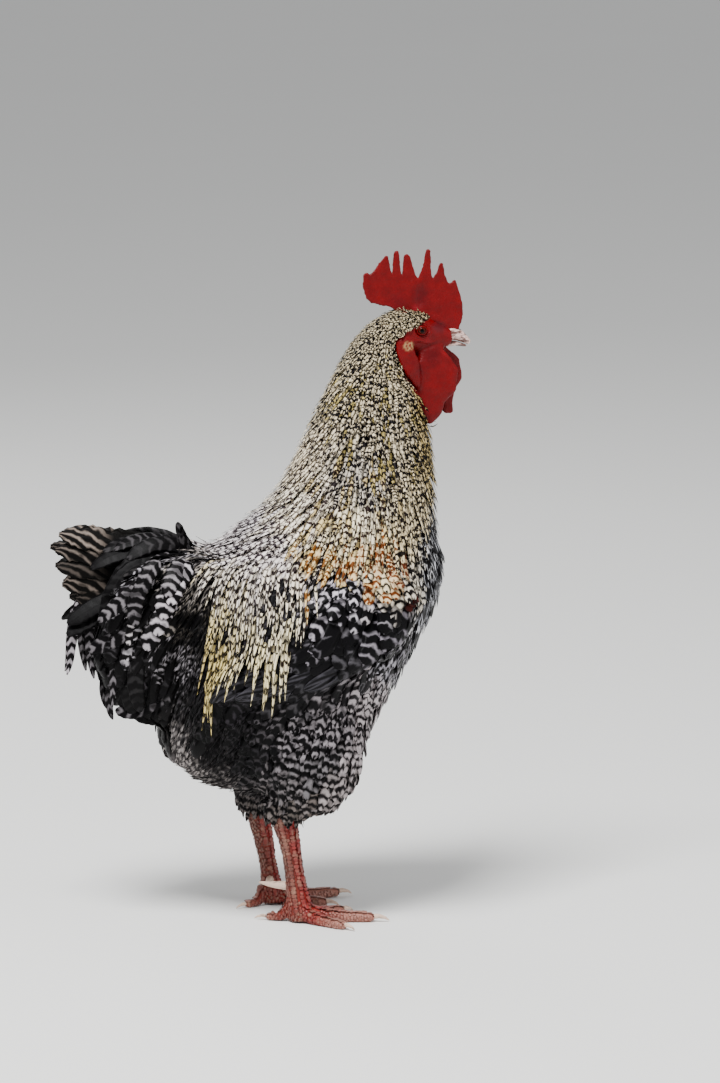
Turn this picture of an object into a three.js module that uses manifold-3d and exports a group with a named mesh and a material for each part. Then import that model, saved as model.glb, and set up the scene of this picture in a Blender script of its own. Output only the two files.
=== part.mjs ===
// A cuckoo-barred cockerel of a heavy, Marans-like breed, standing upright and at rest.
// Lengths are in millimetres and angles in degrees. +Z is up, the bird faces +X and +Y is its left.
// Each shape is first drawn round a point on the floor between the feet. The exported group then moves the
// whole bird so that its origin is the middle of its box on the floor.
import * as THREE from "three";
import { mergeVertices } from "three/addons/utils/BufferGeometryUtils.js";
import Module from "manifold-3d";

const wasm = await Module();
wasm.setup();

// ---- driving sizes ----
const GAP = 0.35; // air between neighbouring pieces
const HEAD_AT = { x: 122, z: 546 }; // the point in the middle plane that the head is drawn round
const EYE = { x: -2.8, y: 13.5, z: 2.2 }; // centre of the eyeballs from there, mirrored in y
const EYE_RADIUS = 5.2;
const STANCE = 40; // each foot from the middle plane
const RIGHT_FOOT_X = 0; // the right foot stands a little ahead of the left
const LEFT_FOOT_X = -15;
const ANKLE_Z = 21;
const HOCK = { back: 16, z: 113 }; // the hock lies behind the ankle
const TOE_SOLE = 0; // height that every toe's flat is cut at
const RIGHT_FOOT_TURN = 5; // how far each foot points outwards
const LEFT_FOOT_TURN = 15;
const SIDES = [
  { name: "right", s: -1, footX: RIGHT_FOOT_X, footTurn: RIGHT_FOOT_TURN },
  { name: "left", s: 1, footX: LEFT_FOOT_X, footTurn: LEFT_FOOT_TURN },
];

// ---- materials ----
const finish = (color, roughness) => new THREE.MeshStandardMaterial({ color, roughness, metalness: 0 });
const MATERIAL = {
  hackle: finish(0xcfc3a4, 0.75),
  barred: finish(0x4a4846, 0.75),
  dark: finish(0x26242a, 0.6),
  comb: finish(0xa80c12, 0.5),
  lobe: finish(0xc98a80, 0.6),
  shank: finish(0xa8554a, 0.6),
  horn: finish(0xd9c9bb, 0.4),
  iris: finish(0x7a2a12, 0.1),
};

// ---- tools ----
const radians = THREE.MathUtils.degToRad;
const SLICE_DOME = 0.3; // how far a stack of slices bulges at its ends, as a share of the end's half width

// A closed geometry as a manifold-3d solid.
function toSolid(geometry) {
  const bare = new THREE.BufferGeometry();
  bare.setAttribute("position", geometry.getAttribute("position"));
  if (geometry.index) bare.setIndex(geometry.index);
  const merged = mergeVertices(bare, 1e-4);
  return new wasm.Manifold(
    new wasm.Mesh({
      numProp: 3,
      vertProperties: new Float32Array(merged.attributes.position.array),
      triVerts: new Uint32Array(merged.index.array),
    }),
  );
}

// A solid's largest body as a geometry, so that a cut leaves no loose sliver.
function toGeometry(solid) {
  const bodies = solid.decompose();
  bodies.sort((a, b) => b.volume() - a.volume());
  const mesh = bodies[0].getMesh();
  const geometry = new THREE.BufferGeometry();
  geometry.setAttribute("position", new THREE.BufferAttribute(new Float32Array(mesh.vertProperties), 3));
  geometry.setIndex(new THREE.BufferAttribute(new Uint32Array(mesh.triVerts), 1));
  geometry.computeVertexNormals();
  return geometry;
}

// Smooth interpolation of one column of a table whose rows are evenly spaced in t from 0 to 1.
function smooth(rows, column, t) {
  const at = t * (rows.length - 1);
  const i = Math.min(rows.length - 2, Math.floor(at));
  const u = at - i;
  const value = (k) => rows[Math.max(0, Math.min(rows.length - 1, k))][column];
  const [a, b, c, d] = [value(i - 1), value(i), value(i + 1), value(i + 2)];
  return 0.5 * (2 * b + (c - a) * u + (2 * a - 5 * b + 4 * c - d) * u * u + (3 * b - a - 3 * c + d) * u ** 3);
}

// A sine or cosine that draws a rounder box in place of an ellipse when power is over 2.
const round = (value, power) => Math.sign(value) * Math.abs(value) ** (2 / power);

// A body of rounded sections strung on a smooth line. Each row is [x, y, z, half depth, half width].
// The depth lies in the upright plane that the line runs in, and the width across it, along `across`.
// grow makes every section that much larger, for cutting a neighbour with a gap. dome is how far each end
// bulges, as a share of its half depth or half width.
function limb(rows, { around = 14, rings = 8, power = 2, grow = 0, across = [0, 1, 0], dome = 0.35 } = {}) {
  const geometry = new THREE.SphereGeometry(1, around, rings + 1);
  const position = geometry.getAttribute("position");
  const line = new THREE.CatmullRomCurve3(rows.map(([x, y, z]) => new THREE.Vector3(x, y, z)));
  const side = new THREE.Vector3(...across);
  for (let i = 0; i < position.count; i++) {
    const row = Math.floor(i / (around + 1));
    const angle = ((i % (around + 1)) / around) * 2 * Math.PI;
    const t = THREE.MathUtils.clamp((row - 1) / (rings - 1), 0, 1);
    const centre = line.getPoint(t);
    const along = line.getTangent(t);
    const depth = smooth(rows, 3, t) + grow;
    const width = smooth(rows, 4, t) + grow;
    const wide = side.clone().addScaledVector(along, -side.dot(along)).normalize();
    const deep = wide.clone().cross(along);
    if (row === 0 || row === rings + 1) {
      const out = (row === 0 ? -1 : 1) * dome * Math.min(depth, width);
      centre.addScaledVector(along, out);
    } else {
      centre.addScaledVector(deep, -depth * round(Math.cos(angle), power));
      centre.addScaledVector(wide, width * round(Math.sin(angle), power));
    }
    position.setXYZ(i, centre.x, centre.y, centre.z);
  }
  return toSolid(geometry);
}

// A body of level slices. Each row is [z, x at the back, x at the front, half width], from the bottom up.
function slices(rows, { around = 26, power = 2, grow = 0 } = {}) {
  const geometry = new THREE.SphereGeometry(1, around, rows.length + 1);
  const position = geometry.getAttribute("position");
  for (let i = 0; i < position.count; i++) {
    const row = Math.floor(i / (around + 1));
    const angle = ((i % (around + 1)) / around) * 2 * Math.PI;
    const k = THREE.MathUtils.clamp(rows.length - row, 0, rows.length - 1);
    const [z, back, front, width] = rows[k];
    const centre = (back + front) / 2;
    const half = (front - back) / 2 + grow;
    if (row === 0 || row === rows.length + 1) {
      position.setXYZ(i, centre, 0, z + (row === 0 ? 1 : -1) * (SLICE_DOME * width + grow));
    } else {
      position.setXYZ(
        i,
        centre - half * round(Math.cos(angle), power),
        -(width + grow) * round(Math.sin(angle), power),
        z,
      );
    }
  }
  return toSolid(geometry);
}

// An outline in the upright XZ plane, given thickness across it. thin(x, z) is the share of it kept there,
// and outline points closer than `apart` are joined.
function blade(outline, thickness, thin, { bevel = 1.2, curveSegments = 2, apart = 1.2 } = {}) {
  const points = [];
  for (const point of outline.getPoints(curveSegments)) {
    if (points.every((other) => other.distanceTo(point) > apart)) points.push(point);
  }
  const geometry = new THREE.ExtrudeGeometry(new THREE.Shape(points), {
    depth: thickness - 2 * bevel,
    bevelEnabled: true,
    bevelThickness: bevel,
    bevelSize: bevel,
    bevelOffset: -bevel,
    bevelSegments: 1,
  });
  const position = geometry.getAttribute("position");
  for (let i = 0; i < position.count; i++) {
    const [x, z] = [position.getX(i), position.getY(i)];
    const across = (position.getZ(i) - thickness / 2 + bevel) * thin(x, z);
    position.setXYZ(i, x, -across, z);
  }
  return toSolid(geometry);
}

// A thick slab that reaches past the bird, lying below a plane through `point` that faces along `normal`.
function slabBelow(point, normal, size = 900) {
  const box = new THREE.BoxGeometry(size, size, size);
  box.translate(0, 0, -size / 2);
  const up = new THREE.Vector3(0, 0, 1);
  box.applyQuaternion(new THREE.Quaternion().setFromUnitVectors(up, normal.clone().normalize()));
  box.translate(point.x, point.y, point.z);
  return toSolid(box);
}

// Parts one solid in two at a plane, with a thin gap: [what lies below the plane, what lies above it].
function part(solid, point, normal) {
  const unit = normal.clone().normalize();
  const lower = point.clone().addScaledVector(unit, -GAP / 2);
  const upper = point.clone().addScaledVector(unit, GAP / 2);
  return [solid.intersect(slabBelow(lower, unit)), solid.subtract(slabBelow(upper, unit))];
}

const bird = new THREE.Group();
bird.name = "cockerel";

function add(parent, name, solid, material) {
  const mesh = new THREE.Mesh(toGeometry(solid), material);
  mesh.name = name;
  parent.add(mesh);
  return mesh;
}

// ---- trunk and neck: one stack of level slices, parted where the hackle cape ends ----
const TORSO = [
  [120, -52, 22, 24],
  [132, -92, 44, 46],
  [150, -114, 60, 62],
  [172, -125, 73, 75],
  [200, -124, 88, 85],
  [232, -119, 104, 92],
  [262, -114, 121, 95],
  [290, -108, 135, 96],
  [316, -101, 142, 95],
  [338, -89, 141.5, 91],
  [358, -64, 138, 85],
  [376, -39, 136, 80],
  [396, -18, 135, 75],
  [422, -3, 134, 66],
  [458, 13, 131, 54],
  [491, 30, 117, 42],
  [515, 42, 102, 33.5],
  [536, 55, 97, 27],
  [550, 67, 97, 21],
  [560, 80, 98, 14],
];
const CAPE_EDGE = new THREE.Vector3(137, 0, 330); // the cape's lower edge at the front of the breast
const CAPE_UP = new THREE.Vector3(0.3, 0, 1); // square to the cape's lower edge, which rises to the back
const TORSO_POWER = 2.1; // the body is a little boxier than an ellipse
const torso = slices(TORSO, { power: TORSO_POWER });
const torsoGrown = slices(TORSO, { power: TORSO_POWER, grow: GAP });
const [trunk, neck] = part(torso, CAPE_EDGE, CAPE_UP);

// ---- head: everything on it is placed from one point between the eyes ----
const onHead = (x, y, z) => [HEAD_AT.x + x, y, HEAD_AT.z + z];
const headRows = (rows) => rows.map(([x, z, depth, width]) => [...onHead(x, 0, z), depth, width]);
const HEAD = headRows([
  [-38, 6, 10, 12],
  [-29, 2, 18, 17.5],
  [-15, 0, 20.5, 18.5],
  [-2, -2, 18.5, 16.5],
  [10, -5, 14.5, 12.5],
  [21, -7, 10.5, 8.5],
]);
const headShape = (grow) => limb(HEAD, { around: 14, rings: 7, grow, dome: 0.5 });

// Upper bill: a blunt hook with an arched ridge. Lower bill: shorter and shallower.
const UPPER_BILL = headRows([
  [21, -3.5, 6.2, 6.8],
  [30, -3.4, 5.8, 5.8],
  [37, -5.2, 4.8, 4.3],
  [42.5, -8.6, 2.2, 2],
]);
const LOWER_BILL = headRows([
  [19, -12.5, 3, 6],
  [27, -12.2, 2.6, 5],
  [34, -11.9, 2, 3.6],
  [39.5, -11.7, 1, 1.6],
]);
const upperBill = (grow) => limb(UPPER_BILL, { around: 12, rings: 6, grow });
const lowerBill = (grow) => limb(LOWER_BILL, { around: 10, rings: 5, grow });

// Single comb, drawn from the front to the back. Each of its points has a tip of a given radius, the notch
// behind it, and a flare: how much its sides curve outwards to their foot.
const COMB_FRONT = { base: [33, 0], bulge: [42.5, 14] };
const COMB_FIRST_NOTCH = [35, 35];
const COMB_POINTS = [
  { tip: [29.9, 47], radius: 1.3, notch: [24.8, 43.5], flare: 0.1 },
  { tip: [17.3, 63], radius: 1.5, notch: [9.2, 48.2], flare: 0.35 },
  { tip: [5.2, 75.5], radius: 1.8, notch: [-4.5, 48.2], flare: 0.3 },
  { tip: [-14.9, 71.5], radius: 3.4, notch: [-19.4, 50.1], flare: 0.1 },
  { tip: [-24.1, 74.4], radius: 2.7, notch: [-29.2, 51.6], flare: 0 },
  { tip: [-33.6, 70], radius: 1.7, notch: [-44.5, 57], flare: -0.15 },
  { tip: [-52, 54.6], radius: 2.6, notch: [-55.7, 44], flare: -0.1 },
];
const COMB_UNDER = [[-51, 29], [-40, 25], [-29, 22], [-20, 14], [-6, 9], [10, 4], [24, -3]];
const COMB_THICKNESS = 8;
const COMB_BASE_Z = 12; // height over the head's point where the blade springs from its base
const COMB_HEIGHT = 60;
const COMB_THINNING = 0.6; // share of the thickness lost at the tips

function combShape(grow) {
  const at = ([x, z]) => [HEAD_AT.x + x, HEAD_AT.z + z];
  const outline = new THREE.Shape();
  outline.moveTo(...at(COMB_FRONT.base));
  outline.quadraticCurveTo(...at(COMB_FRONT.bulge), ...at(COMB_FIRST_NOTCH));
  let from = COMB_FIRST_NOTCH;
  for (const { tip, radius, notch, flare } of COMB_POINTS) {
    const shoulderZ = tip[1] - radius * 0.8;
    const side = (foot, x) => [
      THREE.MathUtils.lerp((foot[0] + x) / 2, x, flare * 2),
      THREE.MathUtils.lerp((foot[1] + shoulderZ) / 2, foot[1], flare),
    ];
    const [ahead, behind] = [tip[0] + radius, tip[0] - radius];
    outline.quadraticCurveTo(...at(side(from, ahead)), ...at([ahead, shoulderZ]));
    outline.quadraticCurveTo(...at([tip[0] + radius * 0.4, tip[1]]), ...at(tip));
    outline.quadraticCurveTo(...at([tip[0] - radius * 0.8, tip[1]]), ...at([behind, shoulderZ]));
    outline.quadraticCurveTo(...at(side(notch, behind)), ...at(notch));
    from = notch;
  }
  outline.splineThru(COMB_UNDER.map((p) => new THREE.Vector2(...at(p))));
  outline.closePath();
  const rise = (z) => THREE.MathUtils.clamp((z - HEAD_AT.z - COMB_BASE_Z) / COMB_HEIGHT, 0, 1);
  const thin = (x, z) => 1 - COMB_THINNING * Math.sqrt(rise(z));
  return blade(outline, COMB_THICKNESS + 2 * grow, thin, { bevel: 0.8 });
}

// Wattles hang from the jaw. The left one swings forward, and ends a little higher.
const WATTLE_TOP = -15.5;
const wattleRows = (s) => {
  const { length, swing } = s > 0 ? { length: 0.9, swing: 17 } : { length: 1, swing: 0 };
  return [
    [4, 9.5, 0, 10, 3.2],
    [8.5, 10.5, 11, 16.5, 3.4],
    [13, 11.5, 23, 21.5, 3.2],
    [12.5, 12, 36, 18.5, 3],
    [9, 12, 48, 13, 2.8],
    [9, 11.5, 60, 9.2, 2.5],
    [7.5, 11, 70, 4, 2],
  ].map(([x, y, drop, depth, width]) => [
    ...onHead(x + (swing * drop) / 70, s * y, WATTLE_TOP - drop * length),
    depth,
    width,
  ]);
};

// Ear lobes: a pale oval behind and below the eye, drawn out into a red fold beside the throat.
const lobeRows = (s) =>
  [
    [-18, 17, -3, 5, 2],
    [-20, 18.5, -9.5, 9, 3.2],
    [-18.5, 19, -20, 9.8, 3.4],
    [-15, 18.5, -31, 9, 3.2],
    [-11, 17.5, -42, 6, 2.6],
    [-7.5, 16.5, -51, 2.5, 1.8],
  ].map(([x, y, z, depth, width]) => [...onHead(x, s * y, z), depth, width]);

const eyeBall = (s, grow) => {
  const ball = new THREE.SphereGeometry(EYE_RADIUS + grow, 12, 8);
  ball.rotateX(Math.PI / 2);
  ball.translate(...onHead(EYE.x, s * EYE.y, EYE.z));
  return toSolid(ball);
};

function buildHead() {
  const group = new THREE.Group();
  const combSolid = combShape(0);
  const combGrown = combShape(GAP);
  const bills = upperBill(GAP).add(lowerBill(GAP));
  let head = headShape(0).subtract(bills).subtract(combGrown);
  for (const { s } of SIDES) head = head.subtract(eyeBall(s, GAP));
  add(group, "comb", combSolid.subtract(upperBill(GAP)), MATERIAL.comb);
  add(group, "bill_upper", upperBill(0), MATERIAL.horn);
  add(group, "bill_lower", lowerBill(0).subtract(upperBill(GAP)), MATERIAL.horn);
  const headGrown = headShape(GAP).add(combGrown).add(bills);
  const behind = headGrown.add(torsoGrown);
  for (const { name, s } of SIDES) {
    const wattle = limb(wattleRows(s), { around: 10, rings: 7 });
    const lobe = limb(lobeRows(s), { around: 8, rings: 7 });
    const lobeGrown = limb(lobeRows(s), { around: 8, rings: 7, grow: GAP });
    add(group, `eye_${name}`, eyeBall(s, 0), MATERIAL.iris);
    add(group, `ear_lobe_${name}`, lobe.subtract(behind), MATERIAL.lobe);
    add(group, `wattle_${name}`, wattle.subtract(behind).subtract(lobeGrown), MATERIAL.comb);
  }
  add(group, "head", head, MATERIAL.comb);
  return { group, keepOut: headGrown };
}

// ---- wings: folded flat against the body, their tips under the saddle feathers ----
const wingRows = (s) =>
  [
    [104, 62, 322, 14, 8],
    [88, 76, 312, 34, 15],
    [58, 86, 296, 45, 18],
    [22, 90, 274, 45, 18],
    [-16, 89, 252, 36, 16],
    [-52, 84, 234, 23, 12],
    [-82, 76, 222, 9, 5],
  ].map(([x, y, z, depth, width]) => [x, s * y, z, depth, width]);

// ---- tail: an upright fan of main feathers, with curved coverts hanging on each side ----
const FAN_TIPS = [[-217, 366], [-228, 351], [-224, 334], [-215, 316], [-206, 300], [-193, 287]];
const FAN_NOTCH = 9; // how deep the gaps between the feather ends are
const FAN_ROOT = { top: [-62, 338], bottom: [-70, 292] };
const FAN_THICKNESS = 38;

function fanShape(grow) {
  const outline = new THREE.Shape();
  outline.moveTo(...FAN_ROOT.top);
  outline.lineTo(-84, 353 + grow);
  outline.quadraticCurveTo(-120, 359 + grow, -158, 357 + grow);
  outline.quadraticCurveTo(-190, 367 + grow, ...FAN_TIPS[0]);
  for (let i = 1; i < FAN_TIPS.length; i++) {
    const [a, b] = [FAN_TIPS[i - 1], FAN_TIPS[i]];
    const notch = [(a[0] + b[0]) / 2 + FAN_NOTCH, (a[1] + b[1]) / 2];
    outline.quadraticCurveTo(a[0] - 1, a[1] - 6, ...notch);
    outline.quadraticCurveTo(b[0] - 1, b[1] + 6, ...b);
  }
  outline.quadraticCurveTo(-150, 275 - grow, ...FAN_ROOT.bottom);
  outline.closePath();
  const reach = (x) => THREE.MathUtils.clamp((-70 - x) / 150, 0, 1);
  return blade(outline, FAN_THICKNESS + 2 * grow, (x) => 1 - 0.72 * reach(x), { bevel: 2 });
}

const covertRows = (s) =>
  [
    [-66, 28, 326, 22, 24],
    [-92, 31, 322, 34, 28],
    [-122, 32, 302, 45, 27],
    [-144, 30, 272, 50, 24],
    [-140, 27, 240, 40, 20],
    [-131, 24, 212, 27, 15],
    [-127, 21, 190, 10, 7],
  ].map(([x, y, z, depth, width]) => [x, s * y, z, depth, width]);

// The longest curved feather of each side: it springs from the top and hangs over the fan's end.
const sickleRows = (s) =>
  [
    [-150, 22, 336, 6, 2],
    [-168, 28, 330, 9, 2.4],
    [-188, 31, 312, 10, 2.4],
    [-201, 30, 286, 9.5, 2.2],
    [-207, 28, 260, 8, 1.8],
    [-208, 26, 238, 3.5, 1.2],
  ].map(([x, y, z, depth, width]) => [x, s * y, z, depth, width]);

function buildTail(keepOut) {
  const group = new THREE.Group();
  const fan = fanShape(0);
  const fanGrown = fanShape(GAP);
  add(group, "tail_fan", fan.subtract(keepOut), MATERIAL.dark);
  for (const { name, s } of SIDES) {
    const middle = new THREE.Vector3(0, (s * GAP) / 2, 0);
    const otherSide = slabBelow(middle, new THREE.Vector3(0, s, 0));
    const covert = limb(covertRows(s), { around: 14, rings: 8, power: 2.2 });
    const covertGrown = limb(covertRows(s), { around: 14, rings: 8, power: 2.2, grow: GAP });
    const sickle = limb(sickleRows(s), { around: 8, rings: 9 });
    const covertOnly = covert.subtract(fanGrown).subtract(keepOut).subtract(otherSide);
    add(group, `tail_coverts_${name}`, covertOnly, MATERIAL.dark);
    add(group, `tail_sickle_${name}`, sickle.subtract(covertGrown).subtract(fanGrown), MATERIAL.dark);
  }
  return group;
}

// ---- thighs: the feathered drumsticks, down to a hem round the hock ----
const thighRows = (s, footX) => {
  const back = (footX - RIGHT_FOOT_X) * 1.2; // the left thigh follows its foot
  const hem = s > 0 ? 92 : 101; // and its feathers hang lower
  const fuller = s > 0 ? 5 : 0; // and reach further back
  return [
    [0, 30, 236, 58, 26],
    [4, 42, 206, 66, 36],
    [6, 46, 176, 62, 40],
    [7 + back * 0.5, 46, 148, 54, 37],
    [3 + back * 0.8, 43, 128, 41 + fuller, 30],
    [-5 + back, STANCE, hem + 15, 26 + fuller, 20],
    [-11 + back, STANCE, hem, 16 + fuller / 2, 14],
  ].map(([x, y, z, depth, width]) => [x, s * y, z, depth, width]);
};

// ---- feet: in each leg's own frame, whose origin is on the floor below the ankle ----
// Each shank narrows below the hock and widens again at the ankle. The left one is the slimmer of the two.
const SHANKS = {
  right: [
    [-HOCK.back, 0, HOCK.z, 12.4, 9],
    [-HOCK.back * 0.86, 0, 99, 12, 8.6],
    [-HOCK.back * 0.62 + 1.5, 0, 78, 9.2, 7.6],
    [-HOCK.back * 0.36 + 1, 0, 55, 8.1, 7.2],
    [-HOCK.back * 0.14, 0, 36, 8.8, 7.8],
    [0, 0, ANKLE_Z, 11.2, 9.8],
    [3, 0, 3.5, 11.5, 12],
  ],
  left: [
    [-HOCK.back, 0, HOCK.z, 12, 9],
    [-HOCK.back * 0.86, 0, 99, 11.8, 8.6],
    [-HOCK.back * 0.62, 0, 78, 10.4, 7.8],
    [-HOCK.back * 0.36, 0, 55, 8.3, 7.2],
    [-HOCK.back * 0.14 - 0.5, 0, 36, 7.5, 7.2],
    [0, 0, ANKLE_Z, 9.4, 9],
    [3, 0, 3.5, 11, 11.6],
  ],
};
const shankShape = (name, grow) => limb(SHANKS[name], { around: 12, rings: 8, grow });

// Each toe points `turn` degrees out from straight ahead. It is drawn along its own +X, with its claw at the
// end, and is `thick` in half height; its base is lifted by `lift`.
const TOES = [
  { name: "middle", turn: 4, length: 63, claw: 15, thick: 6.4, lift: 1.5 },
  { name: "inner", turn: -36, length: 46, claw: 13, thick: 6, lift: 1.5 },
  { name: "outer", turn: 42, length: 49, claw: 12, thick: 5.8, lift: 1.5 },
  { name: "hind", turn: 196, length: 23, claw: 12, thick: 4.8, lift: 11 },
];
const TOE_START = 7; // how far from the ankle's axis a toe begins

const toeRows = ({ length, thick, lift }) =>
  [
    [TOE_START, 0, thick * 1.35 + lift, thick * 1.15, thick * 1.2],
    [TOE_START + length * 0.2, 0, thick * 0.9 + lift * 0.5, thick, thick * 0.95],
    [TOE_START + length * 0.42, 0, thick * 0.8, thick * 0.98, thick],
    [TOE_START + length * 0.6, 0, thick * 0.72, thick * 0.8, thick * 0.8],
    [TOE_START + length * 0.8, 0, thick * 0.7, thick * 0.84, thick * 0.86],
    [TOE_START + length, 0, thick * 0.62, thick * 0.6, thick * 0.62],
  ];

const clawRows = ({ length, claw, thick }) =>
  [
    [TOE_START + length - 3, 0, thick * 0.78, thick * 0.46, thick * 0.42],
    [TOE_START + length + claw * 0.35, 0, thick * 0.86, thick * 0.38, thick * 0.34],
    [TOE_START + length + claw * 0.75, 0, thick * 0.62, thick * 0.24, thick * 0.2],
    [TOE_START + length + claw, 0, thick * 0.22, thick * 0.12, thick * 0.1],
  ];

// The spur: a slightly curved cone on the inner back edge of the shank. The left one sits lower, is shorter and
// points more inwards than the right one.
const spurRows = (s) =>
  s < 0
    ? [
        [-5, -s * 3.5, 33, 4.8, 4.5],
        [-15.5, -s * 9, 32.8, 4.1, 3.9],
        [-25, -s * 14.5, 32.6, 3, 2.9],
        [-35.5, -s * 20, 33.4, 1.1, 1.1],
      ]
    : [
        [-2, -s * 3, 25, 4.6, 4.3],
        [-6.5, -s * 11, 24.8, 3.8, 3.6],
        [-11, -s * 17.5, 24.6, 2.7, 2.6],
        [-16, -s * 24, 25, 1.1, 1.1],
      ];

const floorBelow = slabBelow(new THREE.Vector3(0, 0, TOE_SOLE), new THREE.Vector3(0, 0, 1));

function turned(solid, degrees) {
  const geometry = toGeometry(solid);
  geometry.rotateZ(radians(degrees));
  return toSolid(geometry);
}

function buildLeg({ name, s, footX, footTurn }) {
  const leg = new THREE.Group();
  leg.position.set(footX, s * STANCE, 0);
  const shankGrown = shankShape(name, GAP);
  add(leg, `shank_${name}`, shankShape(name, 0).subtract(floorBelow), MATERIAL.shank);
  const spur = turned(limb(spurRows(s), { around: 8, rings: 5 }), footTurn * s);
  add(leg, `spur_${name}`, spur.subtract(shankGrown), MATERIAL.horn);
  let taken = shankGrown;
  for (const toe of TOES) {
    const options = { around: 8, rings: 7 };
    const clawOptions = { around: 6, rings: 4, dome: 0.2 };
    const turn = (toe.turn + footTurn) * s;
    const whole = turned(limb(toeRows(toe), options).subtract(floorBelow), turn);
    const wholeGrown = turned(limb(toeRows(toe), { ...options, grow: GAP }), turn);
    const claw = turned(limb(clawRows(toe), clawOptions).subtract(floorBelow), turn);
    add(leg, `toe_${toe.name}_${name}`, whole.subtract(taken), MATERIAL.shank);
    add(leg, `claw_${toe.name}_${name}`, claw.subtract(wholeGrown), MATERIAL.horn);
    taken = taken.add(wholeGrown);
  }
  return leg;
}

// A solid drawn in a leg's frame, moved to where the leg stands.
function onLeg(solid, { s, footX }) {
  const geometry = toGeometry(solid);
  geometry.translate(footX, s * STANCE, 0);
  return toSolid(geometry);
}

// ---- the whole bird ----
const { group: headGroup, keepOut: headKeepOut } = buildHead();
let body = trunk;
let tailKeepOut = torsoGrown;
for (const side of SIDES) {
  const { name, s, footX } = side;
  const options = { around: 14, rings: 8, power: 2.1 };
  const thigh = limb(thighRows(s, footX), options);
  const wingOptions = { around: 14, rings: 8, power: 2.2 };
  const wing = limb(wingRows(s), wingOptions);
  const wingGrown = limb(wingRows(s), { ...wingOptions, grow: GAP });
  const middle = new THREE.Vector3(0, (s * GAP) / 2, 0);
  const otherSide = slabBelow(middle, new THREE.Vector3(0, s, 0));
  const shankRoom = onLeg(shankShape(side.name, GAP), side);
  const thighOnly = thigh.subtract(torsoGrown).subtract(shankRoom).subtract(otherSide);
  add(bird, `thigh_${name}`, thighOnly, MATERIAL.barred);
  add(bird, `wing_${name}`, wing.subtract(torsoGrown), MATERIAL.dark);
  body = body.subtract(shankRoom);
  tailKeepOut = tailKeepOut.add(wingGrown);
  bird.add(buildLeg(side));
}
add(bird, "trunk", body, MATERIAL.barred);
add(bird, "neck", neck.subtract(headKeepOut), MATERIAL.hackle);
bird.add(headGroup);
bird.add(buildTail(tailKeepOut));

// The origin goes to the middle of the bird's box on the floor.
const box = new THREE.Box3().setFromObject(bird, true);
bird.position.set(-(box.min.x + box.max.x) / 2, -(box.min.y + box.max.y) / 2, -box.min.z);

export default bird;
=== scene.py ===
"""The looks of a cuckoo-barred cockerel, built round its packed solids.

Lengths are in metres, in the frame of the solids: the bird faces +X, +Y is its left and +Z is up.
"""

import math

import bpy
import numpy as np
from bpy.props import FloatProperty, FloatVectorProperty, IntProperty, PointerProperty
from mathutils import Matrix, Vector
from mathutils import noise as fractal
from mathutils.bvhtree import BVHTree


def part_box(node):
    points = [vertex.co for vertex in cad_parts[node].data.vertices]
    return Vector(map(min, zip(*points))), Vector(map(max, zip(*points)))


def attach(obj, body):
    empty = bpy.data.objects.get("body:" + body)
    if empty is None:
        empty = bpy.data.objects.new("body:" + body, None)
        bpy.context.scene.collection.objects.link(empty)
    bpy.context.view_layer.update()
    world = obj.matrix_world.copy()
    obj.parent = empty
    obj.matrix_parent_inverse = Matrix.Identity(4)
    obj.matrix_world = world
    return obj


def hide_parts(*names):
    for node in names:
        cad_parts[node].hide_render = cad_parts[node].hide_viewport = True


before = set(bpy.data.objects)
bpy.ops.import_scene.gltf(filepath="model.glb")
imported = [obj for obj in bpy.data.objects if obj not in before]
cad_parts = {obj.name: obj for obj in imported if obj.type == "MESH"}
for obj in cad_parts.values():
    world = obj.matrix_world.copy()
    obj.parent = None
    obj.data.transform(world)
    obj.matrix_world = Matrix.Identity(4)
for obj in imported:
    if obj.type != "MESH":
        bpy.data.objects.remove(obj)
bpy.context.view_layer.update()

bl_info = {
    "name": "Barred cockerel",
    "version": (1, 0, 0),
    "blender": (4, 5, 0),
    "location": "View3D > Sidebar > Cockerel",
    "description": "Skin, plumage, eyes, bill and feet of a standing cockerel",
    "category": "Object",
}

MM = 0.001
SIDES = {"left": 1, "right": -1}  # the sign of y


def both(stem):
    """The names of a left and a right node."""
    return [f"{stem}_{side}" for side in SIDES]


TOES = ("middle", "inner", "outer", "hind")
HEAD_NODES = ["head", "comb", *both("ear_lobe"), *both("wattle")]
BODY_NODES = ["neck", "trunk", *both("wing"), *both("thigh"), *both("tail_coverts")]
LEG_NODES = [*both("shank"), *[n for toe in TOES for n in both(f"toe_{toe}")]]


def middle(node):
    """The middle of a node's box."""
    low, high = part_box(node)
    return (low + high) / 2


# The point in the middle plane that the head's features are measured from, a little ahead of the eyes.
EYE = {side: middle(f"eye_{side}") for side in SIDES}
HEAD = Vector((EYE["left"].x + 0.0028, 0, EYE["left"].z - 0.0022))


# ---- Tools for objects and vertices ----


def deselect():
    """Leaves nothing selected, in object mode."""
    if bpy.context.object and bpy.context.object.mode != "OBJECT":
        bpy.ops.object.mode_set(mode="OBJECT")
    bpy.ops.object.select_all(action="DESELECT")


def activate(obj):
    """Selects one object alone and makes it the active one."""
    deselect()
    obj.select_set(True)
    bpy.context.view_layer.objects.active = obj


def edit(obj, operator, **settings):
    """Runs one operator of edit mode on the whole of an object."""
    activate(obj)
    bpy.ops.object.mode_set(mode="EDIT")
    bpy.ops.mesh.select_all(action="SELECT")
    operator(**settings)
    bpy.ops.object.mode_set(mode="OBJECT")


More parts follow.
